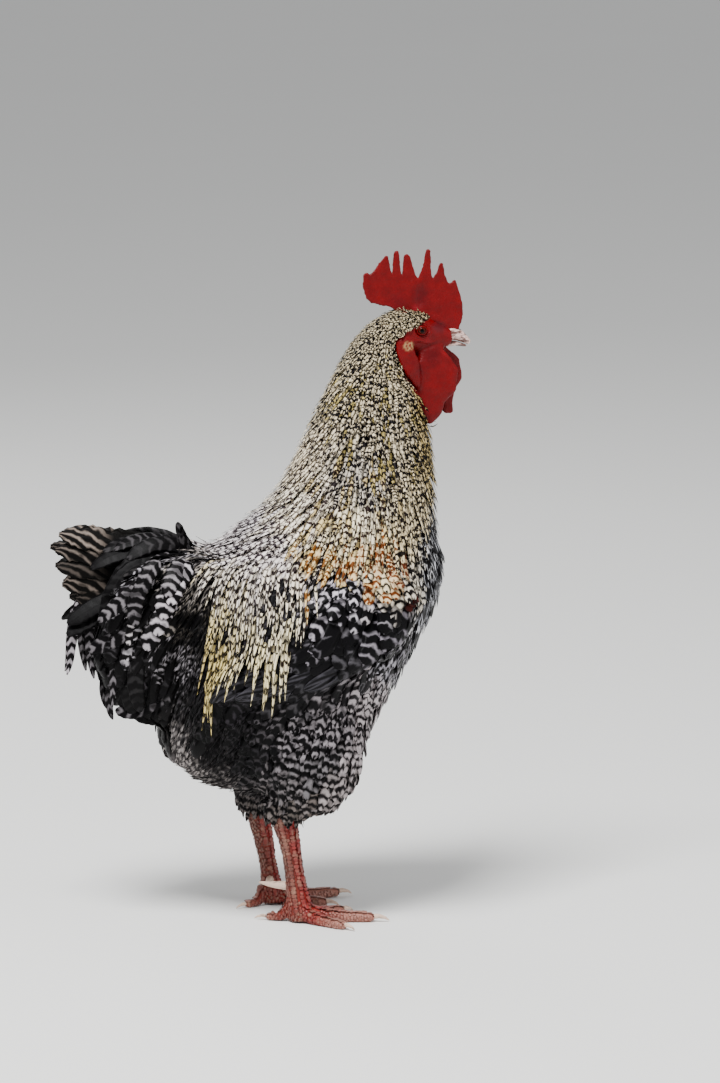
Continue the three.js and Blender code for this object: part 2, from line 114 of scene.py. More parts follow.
def copy_nodes(names, name):
    """One merged mesh object made of copies of CAD nodes."""
    deselect()
    for node in names:
        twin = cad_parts[node].copy()
        twin.data = twin.data.copy()
        twin.parent = None
        for key in list(twin.keys()):
            del twin[key]
        bpy.context.scene.collection.objects.link(twin)
        twin.select_set(True)
        bpy.context.view_layer.objects.active = twin
    if len(names) > 1:
        bpy.ops.object.join()
    obj = bpy.context.object
    obj.name = name
    obj.data.materials.clear()
    edit(obj, bpy.ops.mesh.remove_doubles, threshold=1e-5)
    return obj


def apply_modifier(obj, kind, **settings):
    """Adds a modifier with these settings and applies it."""
    activate(obj)
    bpy.ops.object.modifier_add(type=kind)
    modifier = obj.modifiers[-1]
    for key, value in settings.items():
        setattr(modifier, key, value)
    bpy.ops.object.modifier_apply(modifier=modifier.name)


def remesh(obj, voxel, smoothing):
    """Turns a faceted solid into an even, smooth surface."""
    apply_modifier(obj, "REMESH", mode="VOXEL", voxel_size=voxel, use_smooth_shade=True)
    apply_modifier(obj, "SMOOTH", factor=0.5, iterations=smoothing)


def rows_of(items, key, width, kind=np.float32):
    """One property of every item in a collection, as an array of rows."""
    values = np.empty(len(items) * width, kind)
    items.foreach_get(key, values)
    return values.reshape(-1, width)


def points_of(obj, what="co"):
    """The vertices' positions or normals."""
    return rows_of(obj.data.vertices, what, 3).astype(float)


def move_points(obj, points):
    """Writes the vertices' positions."""
    obj.data.vertices.foreach_set("co", points.astype(np.float32).ravel())
    obj.data.update()


def smoothstep(low, high, x):
    """0 below low, 1 above high, and an S between them. low may be the greater."""
    t = np.clip((x - low) / (high - low), 0, 1)
    return t * t * (3 - 2 * t)


def bell(x, centre, width):
    """1 at the centre, falling off smoothly on both sides."""
    return np.exp(-(((x - centre) / width) ** 2))


def unit(vectors):
    """Rows scaled to length 1."""
    return vectors / np.maximum(np.linalg.norm(vectors, axis=-1, keepdims=True), 1e-12)


def noise_at(points, scale, seed=0):
    """Smooth noise of about -1 to 1 at rows of points. scale is the size of its blobs in metres."""
    shift = Vector((seed * 7.13, seed * 3.71, seed * 1.93))
    return np.array([fractal.noise(Vector(p) / scale + shift) for p in points])


# ---- Skin ----

# Where the bare face ends and the feathers begin: (ahead of HEAD, above HEAD), from the throat up.
FACE_EDGE = np.array([
    (0.040, -0.095), (0.0084, -0.0885), (-0.001, -0.071), (-0.0064, -0.056), (-0.014, -0.048),
    (-0.022, -0.032), (-0.0266, -0.0106), (-0.0235, -0.0044), (-0.0172, 0.0018), (-0.0095, 0.0049),
    (-0.0017, 0.0088), (0.0045, 0.0118), (0.0080, 0.0140), (0.0070, 0.0160), (0.0020, 0.0200),
]).T
# The upper edge of the crown's feathers, beside the comb, in the same terms.
CROWN_EDGE = np.array([(-0.030, 0.0195), (-0.015, 0.0190), (-0.002, 0.0182), (0.006, 0.0172), (0.014, 0.0140)]).T
NECK_TOP = (0.44, 0.46)  # all of the skin below these heights is feathered, down to the legs


def from_head(points):
    """Points as they lie from HEAD."""
    return points - np.array(HEAD)


def bareness(points, soft=0.002):
    """1 on the bare face, 0 among the feathers."""
    rel = from_head(points)
    edge = np.interp(rel[:, 2], FACE_EDGE[1], FACE_EDGE[0])
    return smoothstep(-soft, soft, rel[:, 0] - edge)


def below_comb(points):
    """Whether each point is low enough on the crown to carry feathers."""
    return points[:, 2] < HEAD.z + np.interp(points[:, 0] - HEAD.x, *CROWN_EDGE)


BODY_DEPTH = 0.0085  # of the coat on the body; it is thinner on the head and along the thighs' hems


def coat_depth(points):
    """How far the skin lies under the feather tips."""
    head = smoothstep(0.42, 0.56, points[:, 2])
    hem = smoothstep(0.16, 0.10, points[:, 2])
    return BODY_DEPTH - 0.0060 * head - 0.0035 * hem


def build_body():
    """The feathered part of the skin: the solids of the body, drawn in by the coat's depth."""
    body = copy_nodes([*BODY_NODES, "head", *both("shank")], "body_skin")
    remesh(body, voxel=0.0052, smoothing=6)
    points = points_of(body)
    points -= points_of(body, "normal") * coat_depth(points)[:, None]
    # The throat bulges a little below the wattles' roots.
    throat = bell(points[:, 2], 0.494, 0.018) * smoothstep(0.105, 0.135, points[:, 0])
    points[:, 0] += 0.0080 * throat
    move_points(body, points)
    apply_modifier(body, "SMOOTH", factor=0.5, iterations=4)
    return body


def build_head():
    """The head, comb, wattles and lobes, with sockets, lids and folds worked into them."""
    head = copy_nodes([n for n in HEAD_NODES if n != "comb"], "head_skin")
    move_points(head, shape_wattles(points_of(head)))
    remesh(head, voxel=0.0011, smoothing=2)
    move_points(head, sleeve_bill(points_of(head)))
    close_gaps(head)
    remesh(head, voxel=0.00096, smoothing=4)
    refine_round_eyes(head)
    points, outward = points_of(head), points_of(head, "normal")
    rel = from_head(points)
    hanging = smoothstep(-0.018, -0.028, rel[:, 2])
    lump = noise_at(points, 0.0035, 1)
    fold = noise_at(points * np.array([1.0, 1.0, 0.35]), 0.0045, 2)
    crease = noise_at(points * np.array([1.0, 0.4, 0.45]), 0.011, 8)
    depth = 0.00022 * lump + hanging * (0.0006 * fold + 0.0012 * crease)
    # Fine wrinkles on the face, and a fold under the eye.
    face = 1 - hanging
    depth += face * 0.00024 * noise_at(points * np.array([0.5, 1.0, 1.0]), 0.0016, 7)
    below = np.abs(rel[:, 2] + 0.0085 + 0.0012 * np.sin(rel[:, 0] * 260))
    beside = np.abs(rel[:, 0] + 0.001)
    depth += face * 0.0009 * smoothstep(0.0022, 0.0, below) * smoothstep(0.016, 0.008, beside)
    points += outward * depth[:, None]
    move_points(head, shape_eyes(points))
    comb = build_comb()
    apply_modifier(head, "BOOLEAN", operation="UNION", solver="MANIFOLD", object=comb)
    bpy.data.objects.remove(comb)
    return head


def sleeve_bill(points):
    """Draws the skin of the face forward over the root of the bill."""
    rel = from_head(points)
    level = smoothstep(-0.0170, -0.0125, rel[:, 2]) * smoothstep(0.0120, 0.0070, rel[:, 2])
    share = smoothstep(0.008, 0.0185, rel[:, 0]) * level
    above = rel[:, 2] + 0.0036  # over the bill's axis
    return points + np.column_stack([0.0056 * share, -0.16 * share * points[:, 1], -0.10 * share * above])


def build_comb():
    """The comb, with shallow folds that run up into its points and a broad dent over its front."""
    comb = copy_nodes(["comb"], "comb_skin")
    points = points_of(comb)
    rel = from_head(points)
    # The two deepest slits between the points are opened wider.
    for slit in (-0.0196, -0.0293):
        aside = rel[:, 0] - slit
        open_up = smoothstep(0.0030, 0.0005, np.abs(aside)) * smoothstep(0.0485, 0.0515, rel[:, 2])
        points[:, 0] += 0.0007 * np.sign(aside) * open_up
    move_points(comb, points)
    remesh(comb, voxel=0.00050, smoothing=2)
    apply_modifier(comb, "DECIMATE", ratio=0.5)
    points, outward = points_of(comb), points_of(comb, "normal")
    rel = from_head(points)
    flutes = noise_at(points * np.array([1.0, 0.3, 0.28]), 0.0034, 4)
    dent = smoothstep(0.011, 0.002, np.hypot((rel[:, 0] + 0.0015) * 1.5, (rel[:, 2] - 0.0320) * 0.75))
    low = smoothstep(0.042, 0.024, rel[:, 2])
    depth = 0.0005 * noise_at(points, 0.009, 3) + 0.00034 * flutes
    depth += 0.00016 * noise_at(points, 0.0018, 1)
    depth += 0.0007 * (1 - np.abs(outward[:, 1])) * noise_at(points, 0.0024, 12)
    depth += -0.0014 * dent + 0.0009 * low * noise_at(points, 0.014, 9)
    move_points(comb, points + outward * depth[:, None])
    return comb


def shape_wattles(points):
    """Widens the wattles backwards, notches their front edges and lowers a fold from the throat."""
    rel = from_head(points)
    wattle = (rel[:, 2] < -0.018) & (np.abs(points[:, 1]) < 0.0150) & (rel[:, 0] > -0.0035)
    back = smoothstep(0.026, 0.002, rel[:, 0]) * smoothstep(-0.016, -0.026, rel[:, 2])
    back *= 1 + 0.6 * smoothstep(-0.062, -0.034, rel[:, 2])
    back *= 1 + 0.35 * bell(rel[:, 2], -0.051, 0.008)
    front = smoothstep(0.006, 0.020, rel[:, 0])
    drop = rel[:, 2] + np.where(points[:, 1] < 0, 0, 0.009)
    notch = -0.0034 * bell(drop, -0.063, 0.004) + 0.0040 * bell(drop, -0.071, 0.005)
    shift = np.where(wattle, -0.0056 * back + notch * front, 0)
    lobe = (rel[:, 2] < -0.014) & (np.abs(points[:, 1]) > 0.0146) & (rel[:, 0] < 0.004)
    shift += np.where(lobe, 0.0016 * smoothstep(-0.014, -0.026, rel[:, 2]), 0)
    throat = (np.abs(points[:, 1]) < 0.0075) & (rel[:, 2] < -0.008) & (rel[:, 0] > -0.03)
    sink = smoothstep(-0.022, -0.010, rel[:, 0]) * smoothstep(0.012, 0.004, rel[:, 0])
    lower = np.where(throat & ~wattle, -0.016 * sink * smoothstep(-0.008, -0.018, rel[:, 2]), 0)
    return points + np.column_stack([shift, 0 * shift, lower])


def close_gaps(head, reach=0.0019):
    """Fills the narrow gaps under the face, between the lobes, the wattles and the throat."""
    for way in (1, -1):
        points = points_of(head)
        low = smoothstep(-0.002, -0.010, points[:, 2] - HEAD.z)
        low *= smoothstep(-0.052, -0.040, points[:, 2] - HEAD.z)
        move_points(head, points + points_of(head, "normal") * (way * reach * low)[:, None])
        if way > 0:
            remesh(head, voxel=0.0010, smoothing=1)


def refine_round_eyes(head, reach=0.0105):
    """Splits the faces round each eye, so that the lids can be shaped."""
    activate(head)
    bpy.ops.object.mode_set(mode="EDIT")
    bpy.ops.mesh.select_mode(type="FACE")
    bpy.ops.mesh.select_all(action="DESELECT")
    bpy.ops.object.mode_set(mode="OBJECT")
    for face in head.data.polygons:
        face.select = any((face.center - eye).length < reach for eye in EYE.values())
    bpy.ops.object.mode_set(mode="EDIT")
    bpy.ops.mesh.subdivide(number_cuts=2, smoothness=0)
    bpy.ops.object.mode_set(mode="OBJECT")


LID_OPENING = (0.0037, 0.0032)  # half length and half height of the opening between the lids
LID_OVER, SOCKET_UNDER = 0.0007, 0.0016  # how far these lie over and under the eyeball


def shape_eyes(points):
    """Sinks a socket behind each eyeball and raises wrinkled lids over its rim."""
    for side, sign in SIDES.items():
        eye = EYE[side]
        low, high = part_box(f"eye_{side}")
        radius = (high - low).z / 2
        dx = points[:, 0] - eye.x
        dz = points[:, 2] - eye.z
        ring = np.hypot(dx / LID_OPENING[0], dz / LID_OPENING[1])
        near = (np.sign(points[:, 1]) == sign) & (np.abs(points[:, 1]) > 0.008)
        ball = np.sqrt(np.maximum(radius**2 - dx**2 - dz**2, 0))
        lid = abs(eye.y) + ball + LID_OVER
        socket = abs(eye.y) + ball - SOCKET_UNDER
        flat = np.abs(points[:, 1])
        rim = socket + (lid - socket) * smoothstep(1.0, 1.10, ring)
        blend = smoothstep(1.95, 1.35, ring)
        folds = 0.00035 * np.cos((ring - 1.2) * 12)
        folds *= smoothstep(1.1, 1.3, ring) * smoothstep(3.0, 1.8, ring)
        new = flat * (1 - blend) + np.where(ring < 1.95, np.maximum(rim, socket), flat) * blend + folds
        points[:, 1] = np.where(near & (ring < 3), sign * new, points[:, 1])
    return points


def build_legs():
    """Shanks and toes."""
    legs = copy_nodes(LEG_NODES, "leg_skin")
    remesh(legs, voxel=0.0018, smoothing=3)
    return legs


def build_skin():
    """One closed skin over the body, head and legs."""
    skin = build_body()
    for part in (build_head(), build_legs()):
        apply_modifier(skin, "BOOLEAN", operation="UNION", solver="MANIFOLD", object=part)
        bpy.data.objects.remove(part)
    activate(skin)
    skin.name = "skin"
    skin.data.materials.clear()
    bpy.ops.object.shade_smooth()
    return skin


# ---- Plumage: where each kind of feather grows and which way it lies ----

# The lie of the coat on the left side: a place on the bird, and the way that feathers there point.
LIE = [
    ((0.151, 0.000, 0.567), (-1.0, 0.0, 0.1)),
    ((0.128, 0.010, 0.564), (-0.9, 0.1, -0.45)),
    ((0.150, 0.016, 0.560), (-0.9, 0.3, -0.3)),
    ((0.124, 0.020, 0.545), (-0.5, 0.1, -0.9)),
    ((0.105, 0.000, 0.552), (-0.7, 0.0, -0.75)),
    ((0.126, 0.010, 0.505), (0.15, 0.0, -1.0)),
    ((0.066, 0.000, 0.492), (-0.45, 0.0, -0.9)),
    ((0.105, 0.045, 0.480), (-0.05, 0.1, -1.0)),
    ((0.162, 0.000, 0.450), (0.05, 0.0, -1.0)),
    ((0.030, 0.030, 0.420), (-0.55, 0.1, -0.85)),
    ((0.100, 0.070, 0.410), (0.05, 0.1, -1.0)),
    ((0.150, 0.050, 0.390), (0.10, 0.1, -1.0)),
    ((-0.005, 0.040, 0.380), (-0.85, 0.1, -0.5)),
    ((0.040, 0.080, 0.370), (-0.30, 0.2, -0.95)),
    ((-0.050, 0.000, 0.352), (-1.0, 0.0, -0.3)),
    ((-0.030, 0.075, 0.330), (-0.30, 0.1, -1.0)),
    ((-0.055, 0.060, 0.320), (-0.40, 0.1, -0.95)),
    ((0.015, 0.090, 0.300), (-0.22, 0.0, -1.0)),
    ((-0.050, 0.075, 0.250), (-0.25, 0.0, -1.0)),
    ((0.170, 0.000, 0.330), (0.0, 0.0, -1.0)),
    ((0.160, 0.040, 0.290), (-0.20, 0.0, -1.0)),
    ((0.140, 0.000, 0.240), (-0.50, 0.0, -0.85)),
    ((0.095, 0.000, 0.170), (-0.70, 0.0, -0.6)),
    ((0.125, 0.090, 0.320), (-0.15, 0.0, -0.95)),
    ((0.090, 0.100, 0.310), (-0.25, 0.0, -0.95)),
    ((0.050, 0.100, 0.325), (-0.55, 0.0, -0.8)),
    ((0.070, 0.105, 0.285), (-0.40, 0.0, -0.9)),
    ((0.045, 0.105, 0.262), (-0.80, 0.0, -0.55)),
    ((-0.010, 0.095, 0.245), (-0.85, 0.0, -0.5)),
    ((0.060, 0.085, 0.200), (-0.45, 0.0, -0.9)),
    ((0.040, 0.065, 0.140), (-0.15, 0.0, -1.0)),
    ((0.020, 0.050, 0.100), (-0.05, 0.0, -1.0)),
    ((0.030, 0.000, 0.118), (-0.9, 0.0, -0.2)),
    ((-0.085, 0.000, 0.220), (-0.35, 0.0, -0.95)),
    ((-0.060, 0.060, 0.180), (-0.45, 0.0, -0.9)),
    ((-0.070, 0.000, 0.140), (-0.8, 0.0, -0.5)),
    ((-0.070, 0.020, 0.350), (-0.95, 0.1, -0.1)),
    ((-0.085, 0.055, 0.320), (-0.75, 0.1, -0.7)),
    ((-0.120, 0.050, 0.280), (-0.45, 0.0, -0.9)),
    ((-0.115, 0.040, 0.230), (-0.10, 0.0, -1.0)),
]
GUIDE_AT = np.array([p for p, d in LIE] + [(p[0], -p[1], p[2]) for p, d in LIE])
GUIDE_TO = np.array([d for p, d in LIE] + [(d[0], -d[1], d[2]) for p, d in LIE])
CHUNK = 20000  # points blended at a time


def lie(points):
    """The way that the coat lies at each point, blended from the nearest guides."""
    out = np.zeros_like(points)
    for start in range(0, len(points), CHUNK):
        gap = np.linalg.norm(points[start : start + CHUNK, None] - GUIDE_AT[None], axis=2)
        weight = 1 / (gap**2 + 0.006**2) ** 1.6
        out[start : start + CHUNK] = weight @ GUIDE_TO
    return unit(out)


SKIN_NODES = [*HEAD_NODES, *BODY_NODES, *LEG_NODES]


def triangles_of(node):
    """The corners and the triangles of a node's solid."""
    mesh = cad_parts[node].data
    mesh.calc_loop_triangles()
    return [v.co for v in mesh.vertices], [list(t.vertices) for t in mesh.loop_triangles]


def nearest_nodes(points):
    """The number in SKIN_NODES of the node closest to each point."""
    corners, faces, owner = [], [], []
    for number, node in enumerate(SKIN_NODES):
        own, triangles = triangles_of(node)
        faces.extend([len(corners) + i for i in triangle] for triangle in triangles)
        corners.extend(own)
        owner.extend([number] * len(triangles))
    tree = BVHTree.FromPolygons(corners, faces)
    return np.array([owner[tree.find_nearest(p)[2]] for p in points])


def distances(points, node):
    """How far each point lies outside a node's solid; below 0 inside it."""
    tree = BVHTree.FromPolygons(*triangles_of(node))
    out = np.empty(len(points))
    for i, point in enumerate(points):
        near, normal, _, gap = tree.find_nearest(point)
        out[i] = math.copysign(gap, (Vector(point) - near).dot(normal))
    return out


def belongs(labels, names):
    """Whether each label is that of a node in names."""
    return np.isin(labels, [SKIN_NODES.index(n) for n in names])


class Surface:
    """The skin as something to lay feathers on: nearest points, normals and places on its unwrap."""

    def __init__(self, skin):
        mesh = skin.data
        self.points = points_of(skin)
        mesh.calc_loop_triangles()
        self.triangles = rows_of(mesh.loop_triangles, "vertices", 3, np.int32)
        loops = rows_of(mesh.loop_triangles, "loops", 3, np.int32)
        uv = rows_of(mesh.uv_layers["OFBake"].uv, "vector", 2)
        self.unwrap = uv[loops].mean(axis=1).astype(float)
        a, b, c = (self.points[self.triangles[:, i]] for i in range(3))
        cross = np.cross(b - a, c - a)
        self.centres = (a + b + c) / 3
        self.areas = np.linalg.norm(cross, axis=1) / 2
        self.normals = unit(cross)
        self.labels = nearest_nodes(self.centres + self.normals * coat_depth(self.centres)[:, None])
        self.tree = BVHTree.FromPolygons(self.points.tolist(), self.triangles.tolist())

    def nearest(self, points):
        """The closest places on the skin, the normals there and the triangles' numbers."""
        at, up, number, _ = zip(*(self.tree.find_nearest(p) for p in points))
        return np.array(at), np.array(up), np.array(number)

    def scatter(self, weight, count, rng):
        """Random points, with weight as the chance of each triangle."""
        share = np.cumsum(weight)
        pick = np.searchsorted(share, rng.random(count) * share[-1])
        a, b, c = (self.points[self.triangles[pick, i]] for i in range(3))
        u, v = rng.random((2, count, 1))
        flip = u + v > 1
        u, v = np.where(flip, 1 - u, u), np.where(flip, 1 - v, v)
        return a + (b - a) * u + (c - a) * v, pick


def thin_out(points, spacing):
    """The numbers of the points kept when none may be closer than its spacing to one kept before."""
    kept = []
    cells = {}
    size = float(np.max(spacing))
    for i, (p, gap) in enumerate(zip(points.tolist(), spacing.tolist())):
        key = (int(p[0] // size), int(p[1] // size), int(p[2] // size))
        near = (
            q
            for x in (-1, 0, 1)
            for y in (-1, 0, 1)
            for z in (-1, 0, 1)
            for q in cells.get((key[0] + x, key[1] + y, key[2] + z), ())
        )
        limit = gap * gap
        if all((p[0] - q[0]) ** 2 + (p[1] - q[1]) ** 2 + (p[2] - q[2]) ** 2 > limit for q in near):
            cells.setdefault(key, []).append(p)
            kept.append(i)
    return np.array(kept, int)


# ---- Plumage: sizes and colours ----

# Colours by place on the left side: (ahead, out, up) in millimetres, the pale and the dark bar,
# the bars' period in millimetres and the pale share of it.
COLOURING = [
    ((150, 0, 567), (196, 175, 135), (40, 26, 26), 3.4, 0.60),
    ((128, 12, 562), (204, 188, 153), (20, 15, 16), 3.8, 0.56),
    ((104, 0, 548), (206, 190, 157), (18, 14, 16), 4.2, 0.56),
    ((115, 30, 510), (206, 190, 158), (16, 12, 14), 4.8, 0.56),
    ((60, 10, 490), (216, 200, 166), (18, 14, 16), 5.0, 0.58),
    ((155, 0, 470), (184, 159, 99), (14, 11, 11), 4.8, 0.50),
    ((158, 15, 420), (196, 173, 117), (14, 11, 11), 5.4, 0.50),
    ((110, 55, 455), (208, 193, 164), (17, 13, 15), 5.8, 0.58),
    ((30, 20, 430), (242, 226, 196), (42, 32, 31), 6.0, 0.69),
    ((85, 72, 410), (200, 190, 175), (18, 15, 19), 6.4, 0.56),
    ((10, 35, 392), (248, 236, 212), (56, 45, 46), 6.6, 0.71),
    ((140, 55, 380), (234, 216, 176), (24, 17, 17), 7.0, 0.58),
    ((80, 85, 362), (250, 236, 204), (48, 34, 30), 7.4, 0.72),
    ((20, 60, 368), (250, 238, 216), (62, 49, 48), 7.0, 0.71),
    ((-20, 15, 370), (232, 224, 224), (60, 50, 56), 7.0, 0.62),
    ((0, 60, 352), (240, 230, 226), (54, 45, 50), 7.0, 0.62),
    ((-45, 45, 350), (226, 218, 216), (44, 36, 40), 7.0, 0.60),
    ((-72, 20, 352), (176, 166, 160), (14, 12, 14), 7.0, 0.38),
    ((-78, 50, 318), (172, 163, 156), (8, 7, 8), 7.5, 0.29),
    ((-72, 62, 280), (56, 52, 48), (8, 7, 8), 7.5, 0.20),
    ((66, 90, 350), (236, 220, 180), (24, 17, 16), 7.0, 0.62),
    ((112, 85, 345), (234, 214, 168), (22, 16, 15), 7.0, 0.58),
    ((100, 92, 325), (226, 208, 168), (17, 13, 13), 7.5, 0.54),
    ((130, 82, 315), (214, 204, 186), (15, 11, 12), 7.5, 0.50),
    ((62, 102, 318), (200, 193, 202), (8, 7, 9), 11.0, 0.34),
    ((92, 102, 292), (192, 186, 194), (7, 6, 8), 11.5, 0.34),
    ((50, 104, 288), (178, 171, 181), (6, 5, 7), 11.5, 0.30),
    ((110, 98, 270), (124, 118, 126), (7, 6, 8), 13.0, 0.28),
    ((60, 104, 262), (70, 68, 72), (8, 7, 9), 16.0, 0.20),
    ((10, 98, 240), (46, 45, 48), (8, 7, 9), 14.0, 0.18),
    ((10, 98, 290), (38, 36, 40), (7, 6, 8), 14.0, 0.18),
    ((-30, 84, 280), (38, 34, 40), (7, 6, 8), 10.0, 0.24),
    ((-50, 84, 222), (40, 36, 42), (7, 6, 8), 9.0, 0.22),
    ((168, 0, 350), (236, 236, 242), (3, 2, 4), 13.0, 0.20),
    ((160, 40, 300), (232, 232, 240), (3, 2, 4), 13.0, 0.19),
    ((160, 26, 342), (236, 236, 242), (3, 2, 4), 13.0, 0.20),
    ((142, 0, 240), (200, 198, 204), (6, 5, 7), 10.0, 0.22),
    ((120, 72, 250), (160, 156, 164), (8, 7, 9), 9.5, 0.34),
    ((100, 60, 195), (180, 170, 172), (24, 20, 22), 8.5, 0.54),
    ((84, 76, 165), (172, 162, 164), (22, 19, 20), 8.5, 0.53),
    ((60, 84, 185), (136, 129, 133), (12, 10, 12), 9.0, 0.42),
    ((40, 84, 150), (112, 108, 111), (7, 6, 7), 9.5, 0.36),
    ((66, 70, 125), (152, 143, 143), (17, 15, 16), 8.5, 0.49),
    ((22, 84, 168), (126, 120, 124), (7, 6, 7), 9.5, 0.36),
    ((16, 78, 134), (112, 106, 108), (7, 6, 7), 9.0, 0.36),
    ((-6, 62, 165), (34, 32, 35), (4, 4, 5), 9.0, 0.26),
    ((30, 55, 92), (104, 96, 92), (13, 11, 12), 7.0, 0.40),
    ((-50, 50, 200), (34, 32, 34), (7, 7, 7), 8.0, 0.30),
    ((-60, 0, 146), (96, 91, 90), (26, 23, 24), 8.0, 0.46),
    ((-60, 45, 165), (24, 22, 24), (8, 7, 8), 8.0, 0.30),
    ((-93, 0, 165), (178, 170, 166), (74, 69, 69), 8.0, 0.62),
    ((-86, 22, 157), (172, 164, 161), (70, 65, 66), 8.0, 0.60),
    ((-76, 36, 147), (140, 133, 131), (52, 48, 49), 8.0, 0.52),
    ((-96, 0, 195), (84, 79, 80), (13, 12, 13), 8.0, 0.34),
    ((30, 0, 118), (70, 66, 68), (16, 14, 16), 7.0, 0.40),
    ((-100, 30, 335), (150, 146, 152), (7, 5, 7), 9.0, 0.26),
    ((-115, 48, 290), (200, 194, 200), (6, 5, 6), 9.0, 0.46),
    ((-100, 50, 260), (170, 164, 170), (6, 5, 6), 9.0, 0.40),
    ((-145, 40, 280), (60, 56, 60), (6, 5, 6), 9.0, 0.24),
    ((-120, 44, 235), (84, 79, 84), (6, 5, 6), 9.0, 0.28),
    ((-112, 36, 205), (60, 56, 60), (6, 5, 6), 9.0, 0.24),
]
def linear(colour):
    """A colour of 0 to 255 a channel as linear light."""
    c = np.asarray(colour, float) / 255
    return np.where(c <= 0.04045, c / 12.92, ((c + 0.055) / 1.055) ** 2.4)

# Feathers of another colour strewn in: place, reach, pale and dark bar, and chance.
ACCENTS = [
    ((44, 89, 344), 16, (236, 206, 150), (112, 68, 22), 0.60),
    ((24, 86, 358), 14, (240, 218, 172), (96, 62, 26), 0.35),
    ((66, 92, 348), 14, (240, 216, 172), (100, 56, 18), 0.45),
    ((86, 92, 340), 16, (236, 210, 164), (104, 52, 14), 0.72),
    ((104, 90, 330), 23, (232, 204, 160), (102, 50, 14), 0.76),
    ((120, 84, 320), 16, (222, 192, 150), (92, 40, 14), 0.66),
    ((86, 98, 314), 11, (220, 176, 116), (98, 44, 10), 0.60),
    ((50, 96, 330), 8, (224, 186, 122), (96, 50, 16), 0.40),
    ((132, 84, 306), 9, (70, 24, 18), (30, 10, 8), 0.75),
    ((112, 76, 352), 15, (238, 216, 172), (110, 60, 18), 0.45),
    ((72, 94, 334), 12, (236, 204, 152), (102, 54, 16), 0.50),
    ((110, 40, 465), 70, (170, 152, 92), (18, 14, 14), 0.10),
    ((70, 70, 380), 60, (222, 198, 142), (40, 28, 22), 0.14),
]


def tint_row(pale, dusk, period, share):
    """One row of tints: two linear colours, the bars' period and the pale share of it."""
    return np.r_[linear(pale), linear(dusk), period, share]


def colour_table(rows):
    """The places of a table of colours in metres, and its tints."""
    return np.array([row[0] for row in rows]) * MM, np.array([tint_row(*row[1:]) for row in rows])


PLACE, TINTS = colour_table(COLOURING)

# The saddle's hackles, by the place of their roots.
SADDLE_COLOURS = [
    ((25, 80, 345), (246, 232, 210), (34, 24, 22), 6.0, 0.58),
    ((-10, 70, 348), (240, 230, 218), (36, 27, 28), 6.0, 0.56),
    ((-50, 55, 345), (232, 222, 210), (32, 24, 24), 6.0, 0.54),
    ((22, 88, 325), (250, 238, 208), (26, 17, 15), 6.5, 0.60),
    ((-10, 82, 322), (248, 234, 202), (26, 17, 15), 6.5, 0.60),
    ((-45, 66, 318), (228, 210, 156), (22, 15, 12), 6.5, 0.60),
    ((18, 90, 300), (250, 236, 194), (26, 17, 13), 7.0, 0.60),
    ((-10, 84, 285), (242, 226, 174), (26, 18, 12), 7.0, 0.60),
    ((-45, 70, 280), (224, 202, 132), (26, 19, 11), 7.0, 0.60),
    ((-60, 62, 290), (204, 180, 116), (38, 30, 18), 7.0, 0.58),
    ((-30, 70, 255), (226, 204, 136), (26, 19, 11), 7.0, 0.60),
]


def mirrored(points):
    """The points, with those of the right side moved to the left."""
    return np.column_stack([points[:, 0], np.abs(points[:, 1]), points[:, 2]])


def colouring(points, rows=None):
    """Tints at each point, blended from the nearest rows of a table."""
    place, tints = (PLACE, TINTS) if rows is None else colour_table(rows)
    left = mirrored(points)
    out = np.empty((len(points), tints.shape[1]))
    for start in range(0, len(points), CHUNK):
        part = left[start : start + CHUNK]
        gap = ((part[:, None] - place[None]) ** 2).sum(axis=2)
        weight = 1 / (gap + 0.004**2) ** 3
        out[start : start + CHUNK] = (weight @ tints) / weight.sum(axis=1, keepdims=True)
    return out


def table_of(rows):
    """Rows of numbers as columns, in rising order of the first, ready for interpolation."""
    return np.array(sorted(rows), float).T


# Size of the neck's feathers by height: up, spacing, length, half width, all in millimetres.
NECK_SIZES = table_of([
    (330, 4.3, 36, 3.4), (360, 4.2, 36, 3.3), (400, 3.9, 29, 3.1), (450, 3.4, 21, 2.8),
    (500, 2.7, 14, 2.2), (530, 2.1, 9, 1.7), (565, 1.6, 6, 1.2),
])


# ---- Plumage: laying feathers ----


def row_shares(rows):
    """The rows of a vane as shares of its length, closer together towards the tip."""
    return 1 - (1 - np.arange(rows + 1) / rows) ** 1.45


ROOT_HEIGHT = 0.0004  # of the quills' roots over the skin


def lay(surface, at, up, heading, length, rows, depth, follow=0.6, free=0.0, sag=0.0):
    """Quills laid from roots along the skin.

    at, up and heading are the roots, their normals and first directions, length and depth each
    feather's own. follow is how far a quill turns with the lie of the coat, free how far it may
    stand off the skin and sag how it bends down under its weight.
    Returns the rows of points and of normals.
    """
    share = row_shares(rows)
    heading = unit(heading - up * (heading * up).sum(1, keepdims=True))
    here = at + up * ROOT_HEIGHT
    points, normals = [here], [up]
    for before, after in zip(share, share[1:]):
        step = ((after - before) * length)[:, None]
        if follow:
            heading = unit(heading * (1 - follow * 0.5) + lie(here) * follow * 0.5)
        heading = unit(heading + np.array([0, 0, -1.0]) * sag * (step / 0.010))
        ahead = here + heading * step
        near, face, _ = surface.nearest(ahead)
        face = unit(face * 0.6 + normals[-1] * 0.4)
        gap = ((ahead - near) * face).sum(1)
        want = ROOT_HEIGHT + (depth - ROOT_HEIGHT) * after**0.9
        height = np.maximum(want, want + (gap - want) * free)
        moved = near + face * height[:, None]
        moved += (ahead - near - face * gap[:, None]) * free
        heading = unit(unit(moved - here) * 0.5 + heading * 0.5)
        heading = unit(heading - face * (heading * face).sum(1, keepdims=True) * (1 - free))
        here = moved
        points.append(here)
        normals.append(face)
    return np.stack(points), np.stack(normals)


